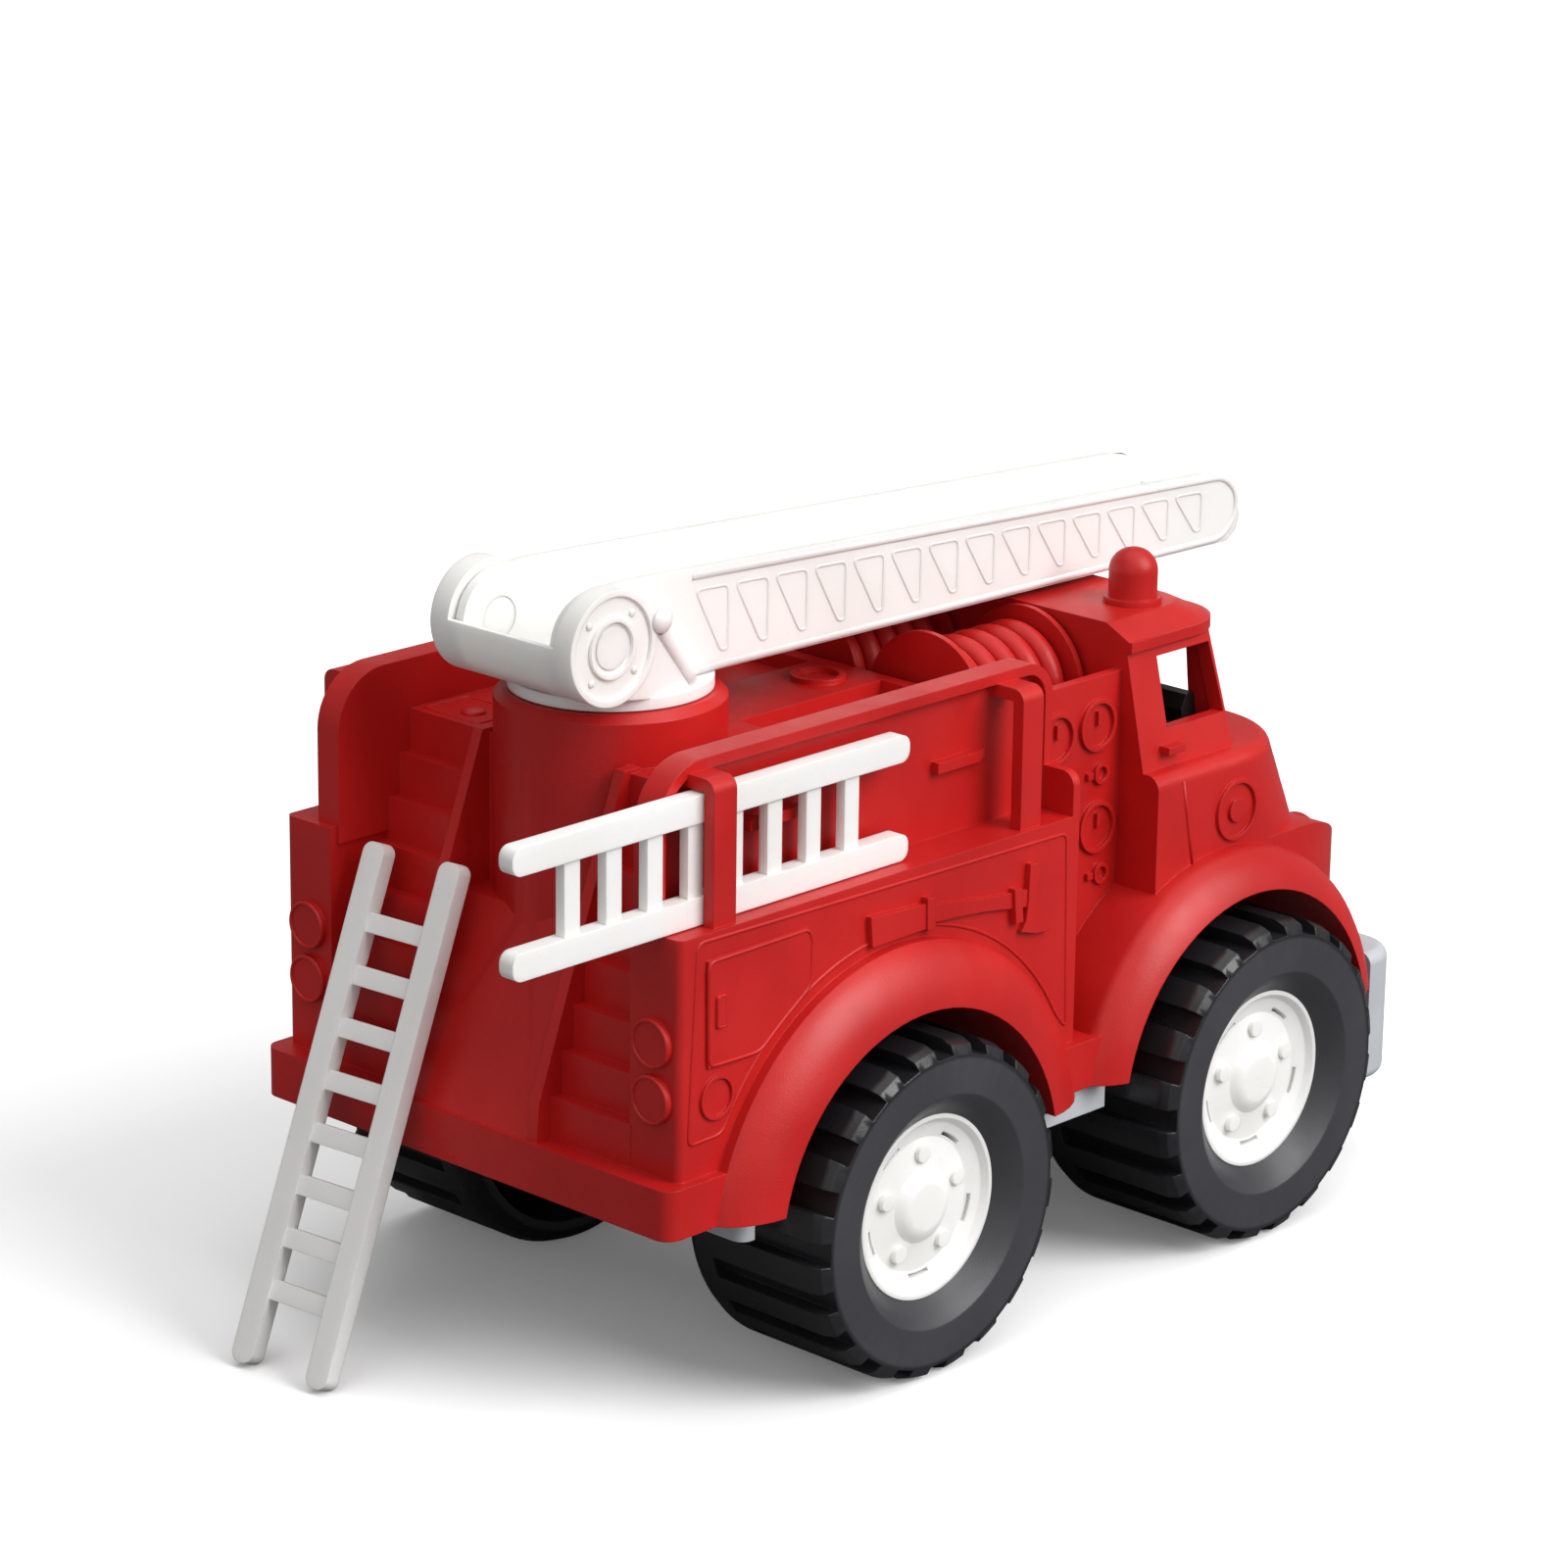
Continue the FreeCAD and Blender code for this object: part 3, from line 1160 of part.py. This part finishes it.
build_shell()
build_chassis()
build_interior()
build_beacon()
for place, axle in (("front", size("front_axle_at")), ("rear", size("rear_axle_at"))):
    build_axle("axle_" + place, axle)
    for label, side in SIDES:
        build_hub("hub_%s_%s" % (place, label), side, axle)
        build_tyre("tyre_%s_%s" % (place, label), side, axle)
build_turntable()
build_clip()
build_boom()
for label, side in SIDES:
    build_pin("pivot_pin_" + label, side)
build_ladder("ladder_racked", racked_placement())
build_ladder("ladder_leaning", leaning_placement())
check_and_export()
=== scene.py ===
"""Looks for the toy fire engine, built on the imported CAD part. Lengths in the tables are millimetres."""
import math

import bmesh
import bpy
from mathutils import Matrix, Vector


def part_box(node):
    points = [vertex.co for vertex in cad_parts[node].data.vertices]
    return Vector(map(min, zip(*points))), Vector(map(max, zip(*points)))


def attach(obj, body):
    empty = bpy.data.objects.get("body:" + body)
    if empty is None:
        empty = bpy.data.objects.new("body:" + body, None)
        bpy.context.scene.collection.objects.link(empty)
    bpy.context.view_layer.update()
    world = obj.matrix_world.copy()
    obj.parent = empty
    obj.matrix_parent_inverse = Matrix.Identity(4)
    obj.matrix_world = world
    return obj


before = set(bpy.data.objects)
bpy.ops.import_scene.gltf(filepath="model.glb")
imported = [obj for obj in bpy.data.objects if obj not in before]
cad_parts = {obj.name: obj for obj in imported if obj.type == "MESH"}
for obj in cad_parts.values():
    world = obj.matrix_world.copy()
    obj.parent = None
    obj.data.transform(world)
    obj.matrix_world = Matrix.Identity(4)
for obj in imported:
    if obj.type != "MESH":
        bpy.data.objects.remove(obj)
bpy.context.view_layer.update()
MM = 0.001
SIDES = (("left", 1), ("right", -1))

# ---------------------------------------------------------------- camera, lights and floor

CAMERA_AT = Vector((-0.8122, 0.8677, 0.4806))
CAMERA_LOOKS = Vector((0.6569, -0.6942, -0.2942)).normalized()
CAMERA_ROLL = math.radians(0.74)
CAMERA_LENS = 121.05
CAMERA_SENSOR = 36.0

SUNS = (  # name, where the light comes from, strength, spread in degrees
    ("key", (-0.88, -0.30, 0.62), 2.75, 40),
    ("top", (-0.12, -0.05, 1.0), 1.25, 70),
    ("rear_fill", (-0.45, 0.85, 0.40), 0.55, 60),
)
SURROUNDINGS_LIGHT = 0.30
SURROUNDINGS_SEEN = 1.1
FLOOR_SIZE = 6.0
FLOOR_BOUNCE = (0.16, 0.16, 0.165, 1.0)
FLOOR_SEEN = (1.0, 1.0, 1.0, 1.0)
FLOOR_LIFT = 0.09


def make_camera():
    """The photograph's viewpoint."""
    level = CAMERA_LOOKS.cross(Vector((0, 0, 1))).normalized()
    upright = level.cross(CAMERA_LOOKS)
    right = level * math.cos(CAMERA_ROLL) + upright * math.sin(CAMERA_ROLL)
    up = right.cross(CAMERA_LOOKS)
    data = bpy.data.cameras.new("photo_camera")
    data.lens = CAMERA_LENS
    data.sensor_width = CAMERA_SENSOR
    camera = bpy.data.objects.new("photo_camera", data)
    bpy.context.scene.collection.objects.link(camera)
    turn = Matrix((right, up, -CAMERA_LOOKS)).transposed().to_4x4()
    camera.matrix_world = Matrix.Translation(CAMERA_AT) @ turn
    bpy.context.scene.camera = camera


def sun(name, toward, strength, spread):
    """A wide soft light that shines from the direction toward."""
    data = bpy.data.lights.new(name, "SUN")
    data.energy = strength
    data.angle = math.radians(spread)
    lamp = bpy.data.objects.new(name, data)
    lamp.rotation_mode = "QUATERNION"
    lamp.rotation_quaternion = Vector(toward).to_track_quat("Z", "Y")
    bpy.context.scene.collection.objects.link(lamp)


def make_surroundings():
    """Pale surroundings, paler to the camera than the light they give."""
    world = bpy.data.worlds.new("studio")
    bpy.context.scene.world = world
    world.use_nodes = True
    nodes, links = world.node_tree.nodes, world.node_tree.links
    ground = nodes["Background"]
    ground.inputs["Color"].default_value = (1.0, 1.0, 1.0, 1.0)
    ground.inputs["Strength"].default_value = SURROUNDINGS_LIGHT
    seen = nodes.new("ShaderNodeBackground")
    seen.inputs["Strength"].default_value = SURROUNDINGS_SEEN
    path = nodes.new("ShaderNodeLightPath")
    mix = nodes.new("ShaderNodeMixShader")
    links.new(path.outputs["Is Camera Ray"], mix.inputs["Fac"])
    links.new(ground.outputs[0], mix.inputs[1])
    links.new(seen.outputs[0], mix.inputs[2])
    links.new(mix.outputs[0], nodes["World Output"].inputs["Surface"])


def floor_paper():
    """White paper that throws little light back up, with its shadows lifted a little."""
    paper = bpy.data.materials.new("floor_paper")
    paper.use_nodes = True
    nodes, links = paper.node_tree.nodes, paper.node_tree.links
    skin = nodes["Principled BSDF"]
    skin.inputs["Roughness"].default_value = 0.9
    skin.inputs["Specular IOR Level"].default_value = 0.1
    path = nodes.new("ShaderNodeLightPath")
    tone = nodes.new("ShaderNodeMix")
    tone.data_type = "RGBA"
    tone.inputs["A"].default_value = FLOOR_BOUNCE
    tone.inputs["B"].default_value = FLOOR_SEEN
    links.new(path.outputs["Is Camera Ray"], tone.inputs["Factor"])
    links.new(tone.outputs["Result"], skin.inputs["Base Color"])
    lift = nodes.new("ShaderNodeMath")
    lift.operation = "MULTIPLY"
    lift.inputs[1].default_value = FLOOR_LIFT
    links.new(path.outputs["Is Camera Ray"], lift.inputs[0])
    skin.inputs["Emission Color"].default_value = (1.0, 1.0, 1.0, 1.0)
    links.new(lift.outputs[0], skin.inputs["Emission Strength"])
    return paper


def make_stage():
    """Pale floor, pale surroundings and soft lights."""
    bpy.context.scene.view_settings.view_transform = "Standard"
    make_surroundings()
    for name, toward, strength, spread in SUNS:
        sun(name, toward, strength, spread)
    sheet = bmesh.new()
    bmesh.ops.create_grid(sheet, x_segments=24, y_segments=24, size=FLOOR_SIZE)
    mesh = bpy.data.meshes.new("floor")
    sheet.to_mesh(mesh)
    sheet.free()
    floor = bpy.data.objects.new("floor", mesh)
    bpy.context.scene.collection.objects.link(floor)
    mesh.materials.append(floor_paper())


# ---------------------------------------------------------------- moulded plastics

CLOUD_SCALE, GLOSS_SCALE, SINK_SCALE = 26.0, 70.0, 45.0  # slow changes of colour, gloss and surface
SPECK_SCALE, SPARK_SCALE = 2100.0, 2600.0  # fine specks of colour, and the grain of the mould
SPECK_DARKER = 0.72
GLOW_COLOUR, GLOW_REACH = (1.0, 0.95, 0.85), 4.0
SINK_DEPTH, SPARK_DEPTH = 0.4, 0.12


def plastic(name, dark, light, rough, grain=0.12, round_edge=0.35, specular=0.5, glow=0.0):
    """Moulded plastic: clouded colour, fine specks, uneven gloss, spark grain and softened edges."""
    material = bpy.data.materials.new(name)
    material.use_nodes = True
    nodes, links = material.node_tree.nodes, material.node_tree.links
    skin = nodes["Principled BSDF"]
    skin.inputs["Specular IOR Level"].default_value = specular
    skin.inputs["Subsurface Weight"].default_value = glow
    skin.inputs["Subsurface Radius"].default_value = GLOW_COLOUR
    skin.inputs["Subsurface Scale"].default_value = GLOW_REACH * MM
    place = nodes.new("ShaderNodeTexCoord")

    def noise(scale, detail, rough_detail=0.5):
        node = nodes.new("ShaderNodeTexNoise")
        node.inputs["Scale"].default_value = scale
        node.inputs["Detail"].default_value = detail
        node.inputs["Roughness"].default_value = rough_detail
        links.new(place.outputs["Object"], node.inputs["Vector"])
        return node

    def spread(source, low, high, to_low, to_high):
        node = nodes.new("ShaderNodeMapRange")
        node.interpolation_type = "SMOOTHSTEP"
        node.inputs["From Min"].default_value = low
        node.inputs["From Max"].default_value = high
        node.inputs["To Min"].default_value = to_low
        node.inputs["To Max"].default_value = to_high
        links.new(source.outputs["Fac"], node.inputs["Value"])
        return node.outputs["Result"]

    def bump(source, below, strength, depth):
        node = nodes.new("ShaderNodeBump")
        node.inputs["Strength"].default_value = strength
        node.inputs["Distance"].default_value = depth * MM
        links.new(source.outputs["Fac"], node.inputs["Height"])
        links.new(below.outputs["Normal"], node.inputs["Normal"])
        return node

    blend = nodes.new("ShaderNodeMix")
    blend.data_type = "RGBA"
    blend.inputs["A"].default_value = (*dark, 1.0)
    blend.inputs["B"].default_value = (*light, 1.0)
    links.new(spread(noise(CLOUD_SCALE, 3.0), 0.32, 0.68, 0.0, 1.0), blend.inputs["Factor"])
    speck = nodes.new("ShaderNodeMix")
    speck.data_type = "RGBA"
    speck.inputs["B"].default_value = (*[SPECK_DARKER * c for c in dark], 1.0)
    links.new(blend.outputs["Result"], speck.inputs["A"])
    links.new(spread(noise(SPECK_SCALE, 1.0), 0.66, 0.78, 0.0, 0.35), speck.inputs["Factor"])
    links.new(speck.outputs["Result"], skin.inputs["Base Color"])

    gloss = spread(noise(GLOSS_SCALE, 4.0, 0.6), 0.3, 0.7, rough - 0.05, rough + 0.06)
    links.new(gloss, skin.inputs["Roughness"])

    edge = nodes.new("ShaderNodeBevel")
    edge.samples = 4
    edge.inputs["Radius"].default_value = round_edge * MM
    sink = bump(noise(SINK_SCALE, 1.0), edge, 0.25, SINK_DEPTH)
    spark = bump(noise(SPARK_SCALE, 2.0), sink, grain, SPARK_DEPTH)
    links.new(spark.outputs["Normal"], skin.inputs["Normal"])
    return material


RED = plastic("red_plastic", (0.44, 0.008, 0.007), (0.53, 0.012, 0.010), 0.40, grain=0.35, specular=0.38)
WHITE = plastic("white_plastic", (0.85, 0.84, 0.81), (0.90, 0.89, 0.865), 0.42, grain=0.10, glow=0.35)
GREY = plastic("grey_plastic", (0.46, 0.48, 0.51), (0.54, 0.56, 0.59), 0.45, grain=0.2)
BLACK = plastic("black_plastic", (0.010, 0.010, 0.011), (0.016, 0.016, 0.017), 0.42, grain=0.2)
TYRE = plastic("tyre_plastic", (0.034, 0.034, 0.039), (0.044, 0.044, 0.050), 0.46, grain=0.30, round_edge=0.6)

AXLE_HEIGHT = 40.0
FRONT_AXLE, REAR_AXLE = -79.7, 39.5  # their Y
SIDEWALL_END, TREAD_START = 35.6, 36.4  # radii
TREAD_TONE = (0.34, 0.34, 0.34, 1.0)
TREAD_GLOSS = 0.16


def tyre_finish(name, axle_at):
    """The tyre's plastic with a blacker, glossier tread outside the sidewall. axle_at is the wheel's Y."""
    material = TYRE.copy()
    material.name = name
    nodes, links = material.node_tree.nodes, material.node_tree.links
    skin = nodes["Principled BSDF"]
    place = nodes.new("ShaderNodeTexCoord")
    offset = nodes.new("ShaderNodeVectorMath")
    offset.operation = "SUBTRACT"
    offset.inputs[1].default_value = (0.0, axle_at * MM, AXLE_HEIGHT * MM)
    flat = nodes.new("ShaderNodeVectorMath")
    flat.operation = "MULTIPLY"
    flat.inputs[1].default_value = (0.0, 1.0, 1.0)
    reach = nodes.new("ShaderNodeVectorMath")
    reach.operation = "LENGTH"
    mask = nodes.new("ShaderNodeMapRange")
    mask.inputs["From Min"].default_value = SIDEWALL_END * MM
    mask.inputs["From Max"].default_value = TREAD_START * MM
    links.new(place.outputs["Object"], offset.inputs[0])
    links.new(offset.outputs["Vector"], flat.inputs[0])
    links.new(flat.outputs["Vector"], reach.inputs[0])
    links.new(reach.outputs["Value"], mask.inputs["Value"])
    tone = nodes.new("ShaderNodeMix")
    tone.data_type = "RGBA"
    tone.blend_type = "MULTIPLY"
    tone.inputs["B"].default_value = TREAD_TONE
    links.new(mask.outputs["Result"], tone.inputs["Factor"])
    links.new(skin.inputs["Base Color"].links[0].from_socket, tone.inputs["A"])
    links.new(tone.outputs["Result"], skin.inputs["Base Color"])
    polish = nodes.new("ShaderNodeMath")
    polish.operation = "MULTIPLY_ADD"
    polish.inputs[1].default_value = -TREAD_GLOSS
    links.new(mask.outputs["Result"], polish.inputs[0])
    links.new(skin.inputs["Roughness"].links[0].from_socket, polish.inputs[2])
    links.new(polish.outputs["Value"], skin.inputs["Roughness"])
    return material


FINISH = {  # by how a CAD node's name starts
    "body_shell": RED, "beacon": RED, "chassis": GREY, "cab_interior": BLACK,
    "tyre_front": tyre_finish("tyre_plastic_front", FRONT_AXLE),
    "tyre_rear": tyre_finish("tyre_plastic_rear", REAR_AXLE),
    "hub": WHITE, "axle": GREY, "turntable": WHITE, "pivot": WHITE, "boom": WHITE, "ladder": WHITE,
}
WELD_WITHIN = 0.002
CRISP_ABOVE = math.radians(26)


def paint_frame():
    """Each CAD node gets its plastic, with smooth shading on its rounds and crisp edges elsewhere."""
    for name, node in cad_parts.items():
        key = max((k for k in FINISH if name.startswith(k)), key=len)
        node.data.materials.clear()
        node.data.materials.append(FINISH[key])
        node.modifiers.new("join_facets", "WELD").merge_threshold = WELD_WITHIN * MM
        node.modifiers.new("crisp_edges", "EDGE_SPLIT").split_angle = CRISP_ABOVE
        node.modifiers.new("even_shading", "WEIGHTED_NORMAL")


# ---------------------------------------------------------------- tools for raised lines and pips

BEAD_SECTION = (  # across the line in widths, and up in heights
    (-0.5, -0.2), (-0.42, 0.55), (-0.22, 0.92), (0.0, 1.0), (0.22, 0.92), (0.42, 0.55), (0.5, -0.2))
MITER_LIMIT = 0.5


def rounded(points, radius, closed=True, steps=4):
    """The path with its corners turned into short curves."""
    path = []
    count = len(points)
    for index, here in enumerate(points):
        corner = Vector(here)
        if not closed and index in (0, count - 1):
            path.append(corner)
            continue
        back = Vector(points[index - 1]) - corner
        ahead = Vector(points[(index + 1) % count]) - corner
        reach = min(radius, back.length * 0.48, ahead.length * 0.48)
        start = corner + back.normalized() * reach
        end = corner + ahead.normalized() * reach
        for step in range(steps + 1):
            t = step / steps
            path.append(start * (1 - t) ** 2 + corner * (2 * t * (1 - t)) + end * t ** 2)
    return path


def bead(mesh, path, side, face, width, height, closed=True):
    """A raised line of rounded section along path = (y, z) on the plane |x| = face."""
    rings = []
    count = len(path)
    for index, here in enumerate(path):
        before = path[index - 1] if closed or index else here
        after = path[(index + 1) % count] if closed or index < count - 1 else here
        arrive = (here - before).normalized() if here != before else (after - here).normalized()
        leave = (after - here).normalized() if after != here else arrive
        along = (arrive + leave).normalized()
        across = Vector((-along.y, along.x))
        miter = 1.0 / max(MITER_LIMIT, across.dot(Vector((-leave.y, leave.x))))
        ring = []
        for offset, rise in BEAD_SECTION:
            spot = here + across * (offset * width * miter)
            ring.append(mesh.verts.new((side * (face + rise * height) * MM, spot.x * MM, spot.y * MM)))
        rings.append(ring)
    last = count if closed else count - 1
    for index in range(last):
        one, two = rings[index], rings[(index + 1) % count]
        for k in range(len(BEAD_SECTION) - 1):
            mesh.faces.new((one[k], one[k + 1], two[k + 1], two[k]))
    if not closed:
        mesh.faces.new(rings[0])
        mesh.faces.new(rings[-1])


def flat_bead(mesh, path, level, width, height):
    """A raised line of rounded section along path = (x, y) on the level plane z = level."""
    start = len(mesh.verts)
    bead(mesh, path, 1, level, width, height)
    mesh.verts.ensure_lookup_table()
    for vertex in list(mesh.verts)[start:]:
        vertex.co = Vector((vertex.co.y, vertex.co.z, vertex.co.x))


def ball(mesh, place, radius, squash=1.0, axis=0):
    """A small round pip, flattened along one axis."""
    made = bmesh.ops.create_uvsphere(mesh, u_segments=28, v_segments=16, radius=radius * MM)
    for vertex in made["verts"]:
        vertex.co[axis] *= squash
        vertex.co += Vector(place) * MM


def strut(mesh, start, end, thick, thin, squash=0.7):
    """A rounded rib from start to end that narrows a little, flattened along x."""
    start, end = Vector(start) * MM, Vector(end) * MM
    along = end - start
    turn = along.to_track_quat("Z", "Y").to_matrix().to_4x4()
    made = bmesh.ops.create_cone(mesh, segments=28, radius1=thick * MM, radius2=thin * MM, depth=along.length,
                                 matrix=Matrix.Translation((start + end) / 2) @ turn)
    for vertex in made["verts"]:
        vertex.co.x = start.x + (vertex.co.x - start.x) * squash


def finish_piece(name, mesh, body, material):
    """Turns the mesh into a shown piece that rides on a body."""
    bmesh.ops.recalc_face_normals(mesh, faces=mesh.faces)
    data = bpy.data.meshes.new(name)
    mesh.to_mesh(data)
    mesh.free()
    data.shade_smooth()
    data.materials.append(material)
    piece = bpy.data.objects.new(name, data)
    bpy.context.scene.collection.objects.link(piece)
    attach(piece, body)


# ---------------------------------------------------------------- the raised lines and pips

BOOM_RIM = ((57.0, 157.0), (-131.0, 154.6), (-136.0, 159.6), (-135.8, 166.0), (-130.5, 170.2), (-123.6, 170.5),
            (57.0, 178.9))
TRUSSES, TRUSS_PITCH, TRUSS_START = 14, 12.9, 56.0
TRUSS_TOP, TRUSS_TOP_FALL = 175.6, 0.044
TRUSS_BOTTOM, TRUSS_BOTTOM_FALL = 160.2, 0.013


def boom_relief():
    """Rim lines and the shallow truss outlines on both sides of the boom."""
    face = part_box("boom")[1].x / MM
    for label, side in SIDES:
        mesh = bmesh.new()
        bead(mesh, rounded(BOOM_RIM, 4.0, closed=False), side, face, 1.7, 0.5, closed=False)
        for index in range(TRUSSES):
            rear = TRUSS_START - TRUSS_PITCH * index
            top = TRUSS_TOP - (TRUSS_START - rear) * TRUSS_TOP_FALL
            bottom = TRUSS_BOTTOM - (TRUSS_START - rear) * TRUSS_BOTTOM_FALL
            truss = [(rear, top), (rear - 10.6, top - 0.5), (rear - 10.4, bottom), (rear - 8.2, bottom)]
            bead(mesh, rounded(truss, 1.8), side, face, 0.8, 0.22)
        finish_piece("boom_relief_" + label, mesh, "boom", WHITE)


LOCKER_FACE, LOCKER_PANEL = 63.7, 0.6  # the locker side, and how far its door stands out
LOCKER_DOOR = ((100.0, 110.2), (68.9, 110.5), (67.6, 108.2), (68.0, 97.3), (77.1, 91.2), (84.0, 86.0),
               (99.7, 86.3))
LOCKER_LATCH = ((97.7, 102.0), (95.3, 102.0), (95.3, 95.0), (97.7, 95.0))
LOCKER_REAR = ((102.9, 115.1), (105.5, 69.3))
LOCKER_FRONT = ((-19.9, 65.3), (-18.3, 113.2))
MUDGUARD_LINE = 63.0  # radius about the rear axle
MUDGUARD_FROM, MUDGUARD_TO, MUDGUARD_STEPS = math.radians(28.0), math.radians(152.0), 20


def locker_lines():
    """The border round each locker side, which follows the rear mudguard, and the lines of its door."""
    arc = []
    for step in range(MUDGUARD_STEPS + 1):
        angle = MUDGUARD_FROM + (MUDGUARD_TO - MUDGUARD_FROM) * step / MUDGUARD_STEPS
        arc.append((REAR_AXLE + MUDGUARD_LINE * math.cos(angle), AXLE_HEIGHT + MUDGUARD_LINE * math.sin(angle)))
    outline = [*LOCKER_REAR, *arc, *LOCKER_FRONT]
    panel = LOCKER_FACE + LOCKER_PANEL
    for label, side in SIDES:
        mesh = bmesh.new()
        bead(mesh, rounded(outline, 2.0, steps=3), side, LOCKER_FACE, 0.9, 0.35)
        bead(mesh, rounded(LOCKER_DOOR, 2.0), side, panel, 0.9, 0.4)
        bead(mesh, rounded(LOCKER_LATCH, 0.4), side, panel, 0.7, 0.9)
        finish_piece("locker_border_" + label, mesh, "truck", RED)


LAMP_SIDE, LAMP_HEIGHTS, LAMP_FACE, LAMP_RIM = 55.8, (92.0, 79.0), 109.45, 5.2
LAMP_STEPS = 40


def lamp_rings():
    """The rim round each of the four rear lamps."""
    turns = [2 * math.pi * step / LAMP_STEPS for step in range(LAMP_STEPS)]
    mesh = bmesh.new()
    for _, side in SIDES:
        for height in LAMP_HEIGHTS:
            ring = [Vector((side * LAMP_SIDE + LAMP_RIM * math.cos(t), height + LAMP_RIM * math.sin(t)))
                    for t in turns]
            bead(mesh, ring, 1, LAMP_FACE, 1.0, 0.5)
    for vertex in mesh.verts:
        vertex.co = Vector((vertex.co.y, vertex.co.x, vertex.co.z))
    finish_piece("rear_lamp_rings", mesh, "truck", RED)


DOOR_FACE = 61.0
DOOR_EDGE = ((-63.7, 115.4), (-65.9, 104.4), (-68.2, 93.1))


def door_lines():
    """The raised line down the rear edge of each cab door."""
    for label, side in SIDES:
        mesh = bmesh.new()
        bead(mesh, rounded(DOOR_EDGE, 3.0, closed=False), side, DOOR_FACE, 0.9, 0.35, closed=False)
        finish_piece("door_line_" + label, mesh, "truck", RED)


CHEEK_FACE = 21.6
PIVOT_Y, PIVOT_Z = 87.6, 169.4
PIPS, PIP_CIRCLE, PIP_FIRST = 4, 9.3, 42
RIB_FOOT = (62.4, 157.6)


def cheek_details():
    """Pips, the ball knob and the rib that runs down from it, on each side of the turntable."""
    for label, side in SIDES:
        mesh = bmesh.new()
        for index in range(PIPS):
            angle = math.radians(PIP_FIRST + 360 / PIPS * index)
            place = (side * CHEEK_FACE, PIVOT_Y + PIP_CIRCLE * math.cos(angle),
                     PIVOT_Z + PIP_CIRCLE * math.sin(angle))
            ball(mesh, place, 0.95, 0.6)
        ball(mesh, (side * 21.8, 72.8, 173.2), 3.2, 0.7)
        strut(mesh, (side * 21.4, 71.8, 170.6), (side * 21.0, *RIB_FOOT), 1.9, 1.7)
        ball(mesh, (side * 21.0, 62.4, 157.4), 1.75, 0.7)
        finish_piece("cheek_details_" + label, mesh, "turntable", WHITE)


LANDING_LEVEL = 140.5
LANDING_CORNERS = ((27.5, 68.0), (27.5, 81.6), (45.6, 81.6), (45.6, 68.0))


def platform_details():
    """The low border and the round pip on the landing at the top of each stair."""
    for label, side in SIDES:
        mesh = bmesh.new()
        corners = [(side * x, y) for x, y in LANDING_CORNERS]
        flat_bead(mesh, rounded(corners, 1.5), LANDING_LEVEL, 0.9, 0.4)
        ball(mesh, (side * 35.0, 76.0, 140.6), 3.0, 0.45, axis=2)
        finish_piece("landing_details_" + label, mesh, "truck", RED)


make_camera()
make_stage()
paint_frame()
boom_relief()
locker_lines()
lamp_rings()
door_lines()
cheek_details()
platform_details()
